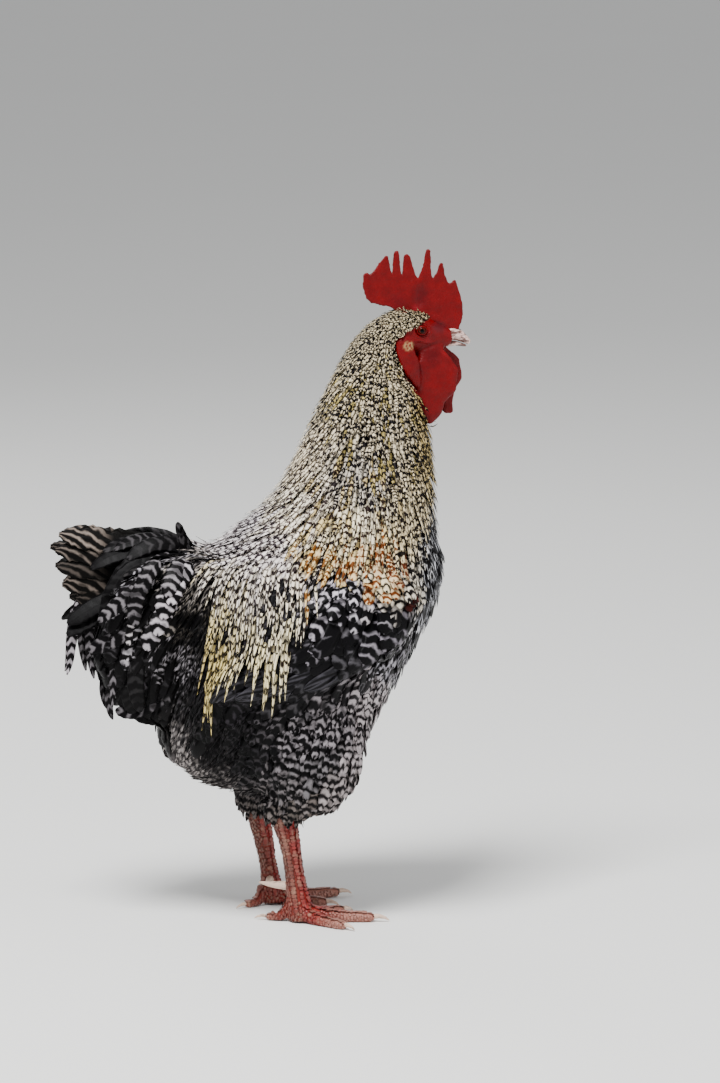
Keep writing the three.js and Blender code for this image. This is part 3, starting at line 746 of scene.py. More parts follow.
def outline(rows, shape):
    """Half the width of a vane at each row, as a share of its widest. shape is how blunt it is."""
    t = row_shares(rows)
    base = np.clip(t / 0.22, 0.0, 1) ** 0.6 * 0.75 + 0.25
    if shape == "pointed":
        end = 1 - np.clip((t - 0.45) / 0.55, 0, 1) ** 1.35 * 0.93
    elif shape == "lance":
        end = 1 - np.clip((t - 0.25) / 0.75, 0, 1) ** 1.15 * 0.95
    else:
        end = np.sqrt(np.maximum(1 - np.clip((t - 0.62) / 0.38, 0, 1) ** 2.4, 0.03))
    return base * end


def vanes(name, quills, rng, columns=3):
    """One mesh object of closed, thin vanes.

    quills is a list of batches: dicts with points, normals (rows by feathers), width, shape, roll,
    tints (the rows that colouring gives), patch (each root's place on the unwrap of the skin),
    thick and ragged.
    """
    across = np.linspace(-1, 1, columns)
    bow = 1 - across**2
    parts = []
    for batch in quills:
        points, normals = batch["points"], batch["normals"]
        rows, count = points.shape[:2]
        along = unit(np.gradient(points, axis=0))
        side = unit(np.cross(along, normals))
        lift = np.cross(side, along)
        roll = batch.get("roll", 0.16) * rng.standard_normal(count)[None, :, None]
        side, lift = side * np.cos(roll) + lift * np.sin(roll), lift * np.cos(roll) - side * np.sin(roll)
        width = outline(rows - 1, batch["shape"])[:, None] * batch["width"][None]
        ragged = 1 - batch.get("ragged", 0.12) * rng.random((rows, count, 2))
        ragged[-1] = 1
        halves = width * ragged[..., 0], width * ragged[..., 1]
        reach = np.where(across[:, None, None] < 0, *halves) * across[:, None, None]
        rise = bow[:, None, None] * np.maximum(width * batch.get("thick", 0.16), 0.00012)
        where = points[None] + side[None] * reach[..., None] + lift[None] * rise[..., None]
        steps = np.linalg.norm(np.diff(points, axis=0), axis=2)
        to_tip = np.vstack([np.cumsum(steps[::-1], axis=0)[::-1], np.zeros((1, count))])
        parts.append((where, to_tip, batch))
    return mesh_of_vanes(name, parts, across, rng)


PATCH = 0.003  # the size of a feather's patch on the unwrap


def mesh_of_vanes(name, parts, across, rng):
    """Joins laid vanes into one object, with their maps and attributes."""
    columns = len(across)
    coords, loops, starts, vane_uv, patch_uv, values = [], [], [], [], [], []
    base = start = 0
    for where, to_tip, batch in parts:
        _, rows, count, _ = where.shape
        each = rows * columns
        # Vertices in the order feather, row, column.
        coords.append(where.transpose(2, 1, 0, 3).reshape(-1, 3))
        u = np.broadcast_to(across, (count, rows, columns)).reshape(-1)
        v = np.broadcast_to(to_tip.T[..., None] / MM, (count, rows, columns)).reshape(-1)
        t = np.broadcast_to(row_shares(rows - 1)[None, :, None], (count, rows, columns)).reshape(-1)
        r = np.arange(rows - 1)[:, None] * columns
        c = np.arange(columns - 1)[None]
        top = np.stack([r + c, r + c + 1, r + c + 1 + columns, r + c + columns], -1).reshape(-1, 4)
        r = r[:, 0]
        under = np.stack([r + columns - 1, r, r + columns, r + 2 * columns - 1], -1)
        quads = np.vstack([top, under])
        root = np.arange(columns)[::-1]
        tip = np.arange(columns) + (rows - 1) * columns
        pattern = np.concatenate([quads.ravel(), root, tip])
        sizes = np.concatenate([np.full(len(quads), 4), [columns, columns]])
        offsets = np.arange(count)[:, None] * each + base
        loop = (pattern[None] + offsets).ravel()
        loops.append(loop)
        first = np.concatenate([[0], np.cumsum(sizes)[:-1]])
        starts.append((first[None] + np.arange(count)[:, None] * len(pattern) + start).ravel())
        local = loop - base
        vane_uv.append(np.stack([u[local], v[local]], -1))
        patch = np.repeat(batch["patch"], len(pattern), axis=0)
        spread = np.stack([u[local] * 0.5, t[local] - 0.5], -1) * PATCH
        patch_uv.append(patch + spread)
        own = [batch["tints"], np.reshape(batch.get("phase", np.zeros(count)), (-1, 1)) % 1, rng.random((count, 1))]
        values.append(np.repeat(np.hstack(own), each, axis=0))
        base += count * each
        start += count * len(pattern)
    coords, loops, starts = np.vstack(coords), np.concatenate(loops), np.concatenate(starts)
    values = np.vstack(values).astype(np.float32)
    mesh = bpy.data.meshes.new(name)
    mesh.vertices.add(len(coords))
    mesh.vertices.foreach_set("co", coords.astype(np.float32).ravel())
    mesh.loops.add(len(loops))
    mesh.loops.foreach_set("vertex_index", loops.astype(np.int32))
    mesh.polygons.add(len(starts))
    mesh.polygons.foreach_set("loop_start", starts.astype(np.int32))
    mesh.update(calc_edges=True)
    for key, uv in (("OFBake", patch_uv), ("Vane", vane_uv)):
        layer = mesh.uv_layers.new(name=key)
        layer.uv.foreach_set("vector", np.vstack(uv).astype(np.float32).ravel())
    write_tints(mesh, values[:, :8])
    store(mesh, "phase", values[:, 8])
    store(mesh, "seed", values[:, 9])
    obj = bpy.data.objects.new(name, mesh)
    bpy.context.scene.collection.objects.link(obj)
    activate(obj)
    bpy.ops.object.shade_smooth()
    return obj


def store(mesh, name, values):
    """Stores a number or a linear colour for each vertex."""
    values = np.array(values, np.float32)
    if values.ndim == 1:
        mesh.attributes.new(name, "FLOAT", "POINT").data.foreach_set("value", values)
    else:
        values = np.hstack([values, np.ones((len(values), 1), np.float32)])
        mesh.attributes.new(name, "FLOAT_COLOR", "POINT").data.foreach_set("color", values.ravel())


def write_tints(mesh, tints):
    """Stores what colouring gives as attributes of the vertices."""
    store(mesh, "pale", tints[:, :3])
    store(mesh, "dusk", tints[:, 3:6])
    store(mesh, "period", tints[:, 6])
    store(mesh, "share", tints[:, 7])


class Coat:
    """Picks roots on the skin and lays one kind of feather from them."""

    def __init__(self, surface, seed, scale):
        self.surface = surface
        self.places = surface.centres.T
        self.rng = np.random.default_rng(seed)
        self.scale = scale

    def on(self, *nodes):
        """Whether each triangle of the skin belongs to one of these nodes."""
        return belongs(self.surface.labels, nodes)

    def roots(self, mask, spacing):
        """Roots spread over the triangles in mask, no closer than spacing gives at each point."""
        s = self.surface
        gap = at_each(spacing, s.centres)
        weight = s.areas * mask / gap**2
        # Far more tries than roots that fit, so that the cover comes out even.
        at, pick = s.scatter(weight, int(weight.sum() * 3.2), self.rng)
        kept = thin_out(at, gap[pick])
        return at[kept], s.normals[pick[kept]], pick[kept]

    def batch(
        self, at, up, pick, length, width, rows, depth, shape, yaw=0.10, vary=0.14,
        heading=None, tints=None, band=None, **rest,
    ):
        """Lays feathers from roots and returns the batch that vanes takes.

        length, width and depth are in metres. vary is the spread of the lengths and yaw that of the
        directions. band gives a way across which bars run on from feather to feather, and how loosely.
        """
        rng = self.rng
        count = len(at)
        length = length * np.clip(1 + vary * rng.standard_normal(count), 0.5, 1.6) * self.scale
        width = width * (1 + 0.08 * rng.standard_normal(count))
        heading = lie(at) if heading is None else heading
        heading = unit(heading + np.cross(up, heading) * yaw * rng.standard_normal((count, 1)))
        depth = depth * (1 + 0.12 * rng.standard_normal(count))
        look = {key: rest.pop(key) for key in ("roll", "thick", "ragged") if key in rest}
        points, normals = lay(self.surface, at, up, heading, length, rows, depth, **rest)
        if tints is None:
            tints = self.tints(points[int(rows * 0.7)])
        elif callable(tints):
            tints = tints(points[int(rows * 0.8)])
        phase = rng.random(count)
        if band:
            across, loose = band
            tips = points[-1]
            phase = -tips @ np.array(across) / np.median(tints[:, 6]) / MM
            phase += 0.5 * noise_at(tips, 0.022, 5) + loose * rng.standard_normal(count)
        patch = self.surface.unwrap[pick]
        return dict(
            points=points, normals=normals, width=width, shape=shape, tints=tints, patch=patch, phase=phase, **look
        )

    def cover(self, mask, spacing, length, width, rows, depth, shape, columns=3, root_tints=None, **rest):
        """A coat over the triangles in mask. Its measures are numbers, or functions of the roots."""
        at, up, pick = self.roots(mask, spacing)
        length, width, depth = (at_each(measure, at) for measure in (length, width, depth))
        if "heading" in rest:
            rest["heading"] = rest["heading"](at)
        if root_tints:
            rest["tints"] = root_tints(at)
        batch = self.batch(at, up, pick, length, width, rows, depth, shape, **rest)
        return [vanes("coat", [batch], self.rng, columns)]

    def tints(self, points, stray=0.006, spread=0.12, rows=None):
        """Colours for feathers whose middles are at points, each a little off its neighbours'."""
        rng = self.rng
        tints = colouring(points + rng.standard_normal(points.shape) * stray, rows)
        value = 1 + spread * rng.standard_normal((len(points), 1))
        tints[:, :6] *= np.clip(value, 0.6, 1.4)
        tints[:, 6] *= np.clip(1 + 0.18 * rng.standard_normal(len(points)), 0.6, 1.6)
        tints[:, 7] = np.clip(tints[:, 7] + 0.08 * rng.standard_normal(len(points)), 0.08, 0.9)
        left = mirrored(points) / MM
        for place, reach, pale, dusk, chance in ACCENTS:
            near = np.linalg.norm(left - place, axis=1) < reach * (0.8 + 0.3 * rng.random(len(points)))
            picked = near & (rng.random(len(points)) < chance)
            value = 1 + 0.15 * rng.standard_normal((picked.sum(), 1))
            tints[picked, :6] = np.r_[linear(pale), linear(dusk)] * value
        return tints


def at_each(measure, points):
    """A measure at each point: a number, or what a function of the points gives."""
    return (measure(points) if callable(measure) else measure) * np.ones(len(points))


# ---- Materials ----


class Nodes:
    """A short way to write a node tree."""

    def __init__(self, tree):
        self.tree = tree
        tree.nodes.clear()

    def add(self, kind, inputs=None, **settings):
        """Adds a node. inputs maps socket names or numbers to values or to other nodes' outputs."""
        node = self.tree.nodes.new(kind)
        for key, value in settings.items():
            setattr(node, key, value)
        for key, value in (inputs or {}).items():
            socket = node.inputs[key]
            if isinstance(value, bpy.types.NodeSocket):
                self.tree.links.new(value, socket)
            else:
                socket.default_value = value
        return node

    def math(self, operation, a, b=0.0, c=0.0, clamp=False):
        """A Math node's output."""
        node = self.add("ShaderNodeMath", {0: a, 1: b, 2: c}, operation=operation, use_clamp=clamp)
        return node.outputs[0]

    def step(self, value, low, high):
        """A smooth step of value from 0 at low to 1 at high."""
        node = self.add(
            "ShaderNodeMapRange",
            {"Value": value, "From Min": low, "From Max": high},
            interpolation_type="SMOOTHSTEP",
        )
        return node.outputs["Result"]

    def mix(self, share, a, b, blend="MIX"):
        """A colour mix of a and b."""
        node = self.add("ShaderNodeMix", {0: share, 6: a, 7: b}, data_type="RGBA", blend_type=blend)
        return node.outputs[2]

    def tone(self, colour, value):
        """A colour made darker or lighter by a value round 1."""
        grey = self.add("ShaderNodeCombineColor", {0: value, 1: value, 2: value}).outputs[0]
        return self.mix(1.0, colour, grey, "MULTIPLY")

    def noise(self, vector, scale, detail=2.0, roughness=0.5):
        """A noise texture's value."""
        inputs = {"Vector": vector, "Scale": scale, "Detail": detail, "Roughness": roughness}
        return self.add("ShaderNodeTexNoise", inputs).outputs["Fac"]

    def attribute(self, name, output="Fac"):
        """A vertex attribute's output."""
        return self.add("ShaderNodeAttribute", attribute_name=name).outputs[output]

    def where(self):
        """The place in the object's own frame."""
        return self.add("ShaderNodeTexCoord").outputs["Object"]

    def split(self, vector):
        """A vector's three parts."""
        return self.add("ShaderNodeSeparateXYZ", {0: vector}).outputs

    def vane(self):
        """The place on a feather: across it, and from its tip in millimetres."""
        return self.split(self.add("ShaderNodeUVMap", uv_map="Vane").outputs[0])

    def wave(self, phase):
        """0 in the middle of a pale bar and 1 in the middle of a dark one."""
        return self.math("ABSOLUTE", self.math("MULTIPLY_ADD", self.math("FRACT", phase), 2.0, -1.0))

    def barred(self, dark):
        """The coat's own pale and dark colours, mixed."""
        return self.mix(dark, self.attribute("pale", "Color"), self.attribute("dusk", "Color"))

    def send(self, node, **outputs):
        """Links values to a node's inputs, whose names have underscores for spaces here."""
        for name, value in outputs.items():
            self.tree.links.new(value, node.inputs[name.replace("_", " ")])


def rgba(colour):
    """A colour of 0 to 255 a channel as a linear RGBA socket value."""
    return (*linear(colour), 1.0)


def new_group(name, inputs, outputs):
    """A shader node group of numbers: its nodes, its inputs' sockets and its output node."""
    group = bpy.data.node_groups.new(name, "ShaderNodeTree")
    for label, default in inputs.items():
        group.interface.new_socket(label, in_out="INPUT", socket_type="NodeSocketFloat").default_value = default
    for label in outputs:
        group.interface.new_socket(label, in_out="OUTPUT", socket_type="NodeSocketFloat")
    nodes = Nodes(group)
    return group, nodes, nodes.add("NodeGroupInput").outputs, nodes.add("NodeGroupOutput")


# A feather's markings. Lengths are in millimetres, and widths are shares of the vane's half width.
MARKINGS = {
    "Slant": 0.25,  # periods that a bar moves towards the root from the shaft to the edge
    "Lean": 0.0,  # periods that it moves over the whole vane, mirrored between the bird's sides
    "Wobble": 0.35,  # periods that it wavers by
    "Softness": 0.12,  # how gradual a bar's edges are
    "Edge": 0.0,  # how pale the rim is
    "Taper": 0.0,  # how much the pale bars narrow towards the rim
    "Plain": 10000.0,  # how far from the tip the bars have faded out
    "Grain": 260.0,  # how fine the wavering is
    "Blackout": 0.0,  # how much of the coat is plain black, in blots
}
VANE = {"Across": 0.0, "From tip": 0.0, "Period": 5.0, "Pale share": 0.5, "Phase": 0.0, "Seed": 0.0}


def barred_vane_group():
    """Bars across a vane that meet in a shallow V at the shaft, and the fine lines of its barbs."""
    group, n, of, result = new_group(
        "Barred vane", {**VANE, **MARKINGS}, ["Dark", "Barbs", "Shaft", "Height"]
    )
    out = n.math("ABSOLUTE", of["Across"])
    cells = n.math("DIVIDE", of["From tip"], of["Period"])
    where = n.where()
    stir = n.math("SUBTRACT", n.noise(where, of["Grain"]), 0.5)
    phase = n.math("ADD", of["Phase"], cells)
    phase = n.math("MULTIPLY_ADD", out, of["Slant"], phase)
    beside = n.math("MULTIPLY", of["Across"], n.math("SIGN", n.split(where)[1]))
    phase = n.math("MULTIPLY_ADD", beside, n.math("MULTIPLY", of["Lean"], -1.0), phase)
    phase = n.math("MULTIPLY_ADD", stir, of["Wobble"], phase)
    share = n.math("SUBTRACT", of["Pale share"], n.math("MULTIPLY", of["Taper"], n.math("MULTIPLY", out, out)))
    low = n.math("SUBTRACT", share, of["Softness"])
    high = n.math("ADD", share, of["Softness"])
    dark = n.step(n.wave(phase), low, high)
    far = n.math("MULTIPLY", of["Plain"], 0.55)
    dark = n.math("MAXIMUM", dark, n.step(of["From tip"], far, of["Plain"]))
    rim = n.math("MULTIPLY", n.step(n.math("MULTIPLY_ADD", stir, 0.5, out), 0.62, 0.92), of["Edge"])
    dark = n.math("MULTIPLY", dark, n.math("SUBTRACT", 1.0, rim))
    blots = n.math("ADD", n.noise(where, 62.0, 1.0), n.math("MULTIPLY", of["Blackout"], 0.34))
    gloom = n.math("MULTIPLY", n.step(blots, 0.56, 0.70), n.step(of["Blackout"], 0.0, 0.15))
    dark = n.math("MAXIMUM", dark, gloom)
    along = n.math("MULTIPLY_ADD", out, -2.2, n.math("MULTIPLY", of["From tip"], 2.4))
    across = n.math("MULTIPLY", of["Across"], 0.6)
    own = n.math("MULTIPLY", of["Seed"], 40.0)
    lines = n.add("ShaderNodeCombineXYZ", {0: along, 1: across, 2: own}).outputs[0]
    barbs = n.noise(lines, 1.0, 2.0, 0.6)
    shaft = n.step(out, 0.16, 0.04)
    n.send(result, Dark=dark, Barbs=barbs, Shaft=shaft, Height=n.math("MULTIPLY_ADD", shaft, 0.5, barbs))
    return group


def pebble_group():
    """Fine rounded grains, as on combs, faces and toes."""
    group, n, of, result = new_group("Pebbled hide", {"Scale": 900.0, "Patches": 120.0}, ["Height", "Mottle"])
    where = n.where()
    cells = n.add("ShaderNodeTexVoronoi", {"Vector": where, "Scale": of["Scale"]}, feature="SMOOTH_F1")
    mottle = n.noise(where, of["Patches"], 4.0, 0.6)
    n.send(result, Height=n.math("SUBTRACT", 1.0, cells.outputs["Distance"]), Mottle=mottle)
    return group


GROUPS = {}


def group(n, name):
    """A node of a shared group, which is built the first time it is asked for."""
    if name not in GROUPS:
        GROUPS[name] = {"Barred vane": barred_vane_group, "Pebbled hide": pebble_group}[name]()
    return n.add("ShaderNodeGroup", node_tree=GROUPS[name])


def new_material(name, specular, **sockets):
    """A material, its nodes and its Principled shader with these constant sockets."""
    material = bpy.data.materials.new(name)
    material.use_nodes = True
    n = Nodes(material.node_tree)
    sockets = {key.replace("_", " "): value for key, value in sockets.items()}
    shader = n.add("ShaderNodeBsdfPrincipled", {"Specular IOR Level": specular, **sockets})
    out = n.add("ShaderNodeOutputMaterial")
    n.send(out, Surface=shader.outputs[0])
    return material, n, shader


def bump(n, shader, height, distance, strength):
    """Gives the shader a bump from height."""
    node = n.add("ShaderNodeBump", {"Height": height, "Distance": distance, "Strength": strength})
    n.send(shader, Normal=node.outputs[0])


def feather_material(name, sheen=0.01, roughness=0.55, **markings):
    """A feather's finish: barred by its own map and colours, with barbs and a shaft."""
    material, n, shader = new_material(name, 0.07, Sheen_Weight=sheen, Sheen_Roughness=0.4)
    vane = group(n, "Barred vane")
    across, from_tip, _ = n.vane()
    n.send(
        vane, Across=across, From_tip=from_tip, Period=n.attribute("period"), Pale_share=n.attribute("share"),
        Phase=n.attribute("phase"), Seed=n.attribute("seed"),
    )
    for label, value in markings.items():
        vane.inputs[label.capitalize()].default_value = value
    of = vane.outputs
    value = n.math("MULTIPLY_ADD", of["Barbs"], 0.9, 0.55)
    gloss = n.math("MULTIPLY_ADD", of["Dark"], -0.12, roughness)
    n.send(shader, Base_Color=n.tone(n.barred(of["Dark"]), value), Roughness=gloss)
    bump(n, shader, of["Height"], 0.00025, 0.6)
    return material


def skin_material(name="skin"):
    """Bare red and scaly skin, and under the coat the coat's own colours."""
    material, n, shader = new_material(
        name, 0.16, Subsurface_Weight=0.06, Subsurface_Radius=(0.004, 0.0012, 0.0008), Subsurface_Scale=1.0
    )
    pebbles = group(n, "Pebbled hide").outputs
    where = n.where()
    coat = n.attribute("coat")
    # Level bars under the feathers, as dark as their shade makes them.
    stir = n.noise(where, 140.0, 3.0)
    phase = n.math("MULTIPLY_ADD", n.split(where)[2], 170.0, n.math("MULTIPLY", stir, 4.0))
    feathered = n.mix(0.35, n.barred(n.step(n.wave(phase), 0.25, 0.55)), (0.0, 0.0, 0.0, 1.0))
    hide = n.tone(n.attribute("bare", "Color"), n.math("MULTIPLY_ADD", pebbles["Mottle"], 0.9, 0.55))
    n.send(shader, Base_Color=n.mix(coat, hide, feathered), Roughness=n.math("MULTIPLY_ADD", coat, 0.35, 0.46))
    bump(n, shader, pebbles["Height"], 0.00035, 0.8)
    return material


def horn_material(name, pale, dark, mottle, roughness):
    """Horn: pale, with darker stain in patches and fine lines along its length."""
    material, n, shader = new_material(name, 0.5, Roughness=roughness)
    stretched = n.add("ShaderNodeMapping", {"Vector": n.where(), "Scale": (0.5, 1.0, 1.6)}).outputs[0]
    patches = n.noise(stretched, 220.0, 3.0, 0.6)
    stain = n.step(patches, 0.62 - 0.3 * mottle, 0.72 - 0.2 * mottle)
    grain = n.noise(stretched, 900.0)
    colour = n.mix(n.math("MULTIPLY", stain, min(1.0, 0.35 + mottle)), rgba(pale), rgba(dark))
    colour = n.mix(n.math("MULTIPLY", grain, 0.25), colour, rgba([c * 0.7 for c in pale]))
    n.send(shader, Base_Color=colour)
    bump(n, shader, grain, 0.0002, 0.4)
    return material


def eye_material(name, iris, pupil, rim):
    """A wet eye: a round dark pupil, a streaked iris and a dark rim, read round the eye's axis."""
    material, n, shader = new_material(name, 0.08, Roughness=0.08)
    eye = EYE["left"]
    flat = n.add("ShaderNodeVectorMath", {0: n.where(), 1: (eye.x, 0, eye.z)}, operation="SUBTRACT").outputs[0]
    ahead, _, up = n.split(flat)
    reach = n.math("SQRT", n.math("ADD", n.math("MULTIPLY", ahead, ahead), n.math("MULTIPLY", up, up)))
    turn = n.math("ARCTAN2", up, ahead)
    rays = n.add("ShaderNodeCombineXYZ", {0: turn, 1: n.math("MULTIPLY", reach, 150.0)}).outputs[0]
    streaks = n.noise(rays, 6.0, 3.0, 0.7)
    colour = n.mix(streaks, rgba([c * 0.55 for c in iris]), rgba(iris))
    colour = n.mix(n.step(reach, rim * 0.88, rim), colour, rgba((14, 8, 7)))
    colour = n.mix(n.step(reach, pupil * 1.08, pupil * 0.92), colour, rgba((3, 3, 3)))
    n.send(shader, Base_Color=colour)
    return material


def scale_material(name):
    """Horny scales: the scale's own colour, darker in the joints, with fine dust and grain."""
    material, n, shader = new_material(name, 0.45)
    pebbles = group(n, "Pebbled hide")
    pebbles.inputs["Scale"].default_value = 1600.0
    rim = n.step(n.math("ABSOLUTE", n.vane()[0]), 0.65, 1.0)
    dust = n.step(pebbles.outputs["Mottle"], 0.45, 0.75)
    colour = n.mix(dust, n.barred(rim), rgba((146, 104, 86)))
    n.send(shader, Base_Color=colour, Roughness=n.math("MULTIPLY_ADD", rim, 0.15, 0.45))
    bump(n, shader, pebbles.outputs["Height"], 0.00015, 0.5)
    return material


def floor_material(name, colour):
    """A plain, pale studio floor with a very faint unevenness."""
    material, n, shader = new_material(name, 0.2, Roughness=0.85)
    value = n.math("MULTIPLY", n.noise(n.where(), 1.2, 3.0), 0.05)
    n.send(shader, Base_Color=n.mix(value, (*colour, 1.0), (0.5, 0.5, 0.5, 1.0)))
    return material


# ---- Pieces ----

MADE = {}  # the finished skin's surface, kept for the pieces that grow from it


def finish_piece(obj, name, nodes=()):
    """Names a piece, and ties it to its body, its slot and the nodes that it stands for."""
    obj.name = name
    obj.data.name = name
    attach(obj, "root")
    if nodes:
        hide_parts(*nodes)


def put_material(obj, material):
    """Gives an object one material."""
    obj.data.materials.clear()
    obj.data.materials.append(material)


# Painted shade in the folds, and painted highlights on some of them: ahead and above, reach, colour and share.
FOLD_SHADE_AND_HIGHLIGHTS = [
    # Painted shade under the jaw and behind the wattles.
    (0.0060, -0.0210, 0.0170, (70, 0, 5), 0.85),
    (-0.0050, -0.0350, 0.0090, (76, 0, 6), 0.70),
    (-0.0120, -0.0270, 0.0050, (84, 0, 8), 0.60),
    # Painted shade in the comb's dent and along its foot.
    (-0.0010, 0.0360, 0.0130, (76, 0, 6), 0.75),
    (-0.0020, 0.0280, 0.0110, (76, 0, 6), 0.75),
    (-0.0240, 0.0270, 0.0130, (84, 0, 8), 0.65),
    # Painted highlights, pinker, on the folds above the eye, before the wattle and below the eye.
    (-0.0070, 0.0215, 0.0050, (140, 18, 32), 0.45),
    (0.0200, -0.0190, 0.0060, (140, 4, 14), 0.40),
    (0.0030, -0.0075, 0.0050, (128, 8, 20), 0.50),
]
THIGH_FOOT = 0.097  # height below which only legs are left
LEGS_UP_TO = 0.116  # and that below which a leg's own skin is bare


def paint_skin(skin, colours):
    """Stores where the skin is feathered, the coat's colours and the bare skin's own."""
    points = points_of(skin)
    labels = nearest_nodes(points)
    rel = from_head(points)
    ahead, above = rel[:, 0], rel[:, 2]
    up = points[:, 2]
    coat = 1 - bareness(points) * smoothstep(*NECK_TOP, up)
    leg = (belongs(labels, LEG_NODES) & (up < LEGS_UP_TO)) | (up < THIGH_FOOT)
    crown = ~below_comb(points + np.array([0, 0, 0.0008]))
    coat[leg | crown | belongs(labels, ["comb", *both("ear_lobe")])] = 0
    # The wattles hang before the neck: only what lies inside the neck is feathered there.
    beside = (ahead > -0.014) & (above < -0.03) & (above > -0.1)
    coat[beside] *= distances(points[beside], "neck") < -0.0030
    write_tints(skin.data, colouring(points))

    blend = lambda base, colour, share: base + (linear(colour) - base) * share[:, None]
    face = np.tile(linear(colours["face"]), (len(points), 1))
    comb = np.maximum(smoothstep(0.012, 0.018, above), smoothstep(-0.016, -0.026, above))
    face = blend(face, colours["comb"], comb)
    # The pale patch on the ear lobe.
    lobe = smoothstep(0.0062, 0.0034, np.hypot((ahead + 0.0158) * 0.9, (above + 0.0115) * 1.1))
    lobe *= np.clip(0.62 + 1.9 * noise_at(points, 0.0015, 5), 0.05, 0.9)
    face = blend(face, colours["lobe"], lobe)
    # Painted shade in the folds and painted highlights on them, blended into the bare skin's colour.
    for x, z, reach, colour, share in FOLD_SHADE_AND_HIGHLIGHTS:
        near = smoothstep(reach, 0.0, np.hypot(ahead - x, above - z))
        face = blend(face, colour, share * near)
    # The face's colour is darker between the eye and the bill.
    lores = smoothstep(0.010, 0.003, np.hypot(ahead - 0.0145, (above - 0.004) * 1.4))
    face = blend(face, (70, 16, 22), 0.75 * lores)
    store(skin.data, "bare", np.where(up[:, None] < 0.2, leg_colours(points, colours["leg"]), face))
    store(skin.data, "coat", coat)


def unwrap(obj):
    """Unwraps a piece by its own shape into the map that the export bakes to."""
    obj.data.uv_layers.new(name="OFBake")
    edit(obj, bpy.ops.uv.smart_project, angle_limit=1.2, island_margin=0.001)


def build_eye(side):
    """An eyeball with a cornea that stands a little proud, its axis across the head."""
    eye = EYE[side]
    low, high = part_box(f"eye_{side}")
    deselect()
    bpy.ops.mesh.primitive_uv_sphere_add(segments=48, ring_count=32, radius=(high - low).z / 2, location=eye)
    ball = bpy.context.object
    edit(ball, bpy.ops.transform.rotate, value=math.pi / 2, orient_axis="X", center_override=eye)
    bpy.ops.object.transform_apply(location=True, rotation=True, scale=True)
    points = points_of(ball)
    rel = points - np.array(eye)
    cornea = np.clip(1 - (np.hypot(rel[:, 0], rel[:, 2]) / 0.0034) ** 2, 0, 1)
    points[:, 1] += np.sign(rel[:, 1]) * (0.0004 * cornea)
    move_points(ball, points)
    bpy.ops.object.shade_smooth()
    return ball


def build_horn(nodes, name, voxel):
    """Bills, claws or spurs as smooth, rounded copies of their solids."""
    horn = copy_nodes(nodes, name)
    remesh(horn, voxel, smoothing=6)
    bpy.ops.object.shade_smooth()
    return horn


def curve_bill(bill):
    """Arches the bill's ridge and hooks its tip down."""
    points = points_of(bill)
    rel = from_head(points)
    tip = smoothstep(0.030, 0.041, rel[:, 0])
    arch = smoothstep(0.020, 0.030, rel[:, 0]) * smoothstep(0.0405, 0.034, rel[:, 0])
    ridge = smoothstep(-0.006, 0.003, rel[:, 2])
    move_points(bill, points + np.column_stack([0.0016 * tip, 0 * tip, 0.0013 * arch * ridge - 0.0028 * tip]))


def pinch_nostrils(bill):
    """Sinks a slit nostril into each side of the upper bill."""
    points, outward = points_of(bill), points_of(bill, "normal")
    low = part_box("bill_upper")[0]
    slit = np.hypot((points[:, 0] - low.x - 0.0096) / 0.0022, (points[:, 2] - low.z - 0.0062) / 0.0008)
    move_points(bill, points - outward * (0.0008 * smoothstep(1.3, 0.4, slit))[:, None])


# ---- The coats ----


def feathered_skin(surface):
    """1 on the triangles of the head and body that carry feathers, 0 on bare skin."""
    points = surface.centres
    feathered = 1 - bareness(points, 0.0008) * smoothstep(*NECK_TOP, points[:, 2])
    feathered *= below_comb(points)
    low = np.flatnonzero((points[:, 2] > 0.44) & (points[:, 2] < 0.48) & (points[:, 0] > 0.13))
    for side in SIDES:
        feathered[low] *= distances(points[low], f"wattle_{side}") > 0.0036
    feathered *= ~belongs(surface.labels, [*LEG_NODES, "comb", *both("wattle"), *both("ear_lobe")])
    return feathered


def hackle_tints(coat, at):
    """The neck's colours, with bars of unequal width and darker and paler stretches."""
    tints = coat.tints(at, stray=0.005, spread=0.10)
    count = len(at)
    tints[:, 6] *= np.clip(1 + 0.2 * coat.rng.standard_normal(count), 0.6, 1.6)
    tints[:, 7] += 0.10 * noise_at(at, 0.012, 6) + 0.08 * coat.rng.standard_normal(count)
    tints[:, 7] = np.clip(tints[:, 7] - 0.09, 0.15, 0.8)
    tints[:, 6] *= 1.12
    return tints


# Ways across the coat that its bands of bars follow.
LEVEL_BANDS = (0, 0, -1)
BODY_BANDS = (-0.3, 0, -0.95)


def neck_coat(coat):
    """Narrow hackles from the crown to the cape."""
    x, _, z = coat.places
    mask = feathered_skin(coat.surface) * coat.on("neck", "head")
    # The hackles end above the dark feathers of the breast.
    mask = mask * ~((x > 0.146) & (z < 0.384))
    up, spacing, length, width = NECK_SIZES
    size = lambda points, column: np.interp(points[:, 2] / MM, up, column) * MM
    at, outward, pick = coat.roots(mask, lambda p: size(p, spacing))
    upper = at[:, 2] > 0.47
    made = []
    for part, rows in ((upper, 6), (~upper, 8)):
        a = at[part]
        batch = coat.batch(
            a, outward[part], pick[part], size(a, length), size(a, width), rows, coat_depth(a) + 0.0004,
            "pointed", yaw=0.14, roll=0.08, thick=0.07, vary=0.2, band=(LEVEL_BANDS, 0.2),
            tints=lambda q: hackle_tints(coat, q),
        )
        made.append(vanes("hackles", [batch], coat.rng))
    return made


def back_coat(coat):
    """The narrow feathers of the back, which run down under the saddle."""
    x, _, z = coat.places
    return coat.cover(
        coat.on("trunk") & (z > 0.335) & (x < 0.075) & (x > -0.08), 0.0048, 0.024, 0.0034, 7, 0.0088,
        "pointed", yaw=0.16, band=((-0.85, 0, -0.5), 0.18),
    )


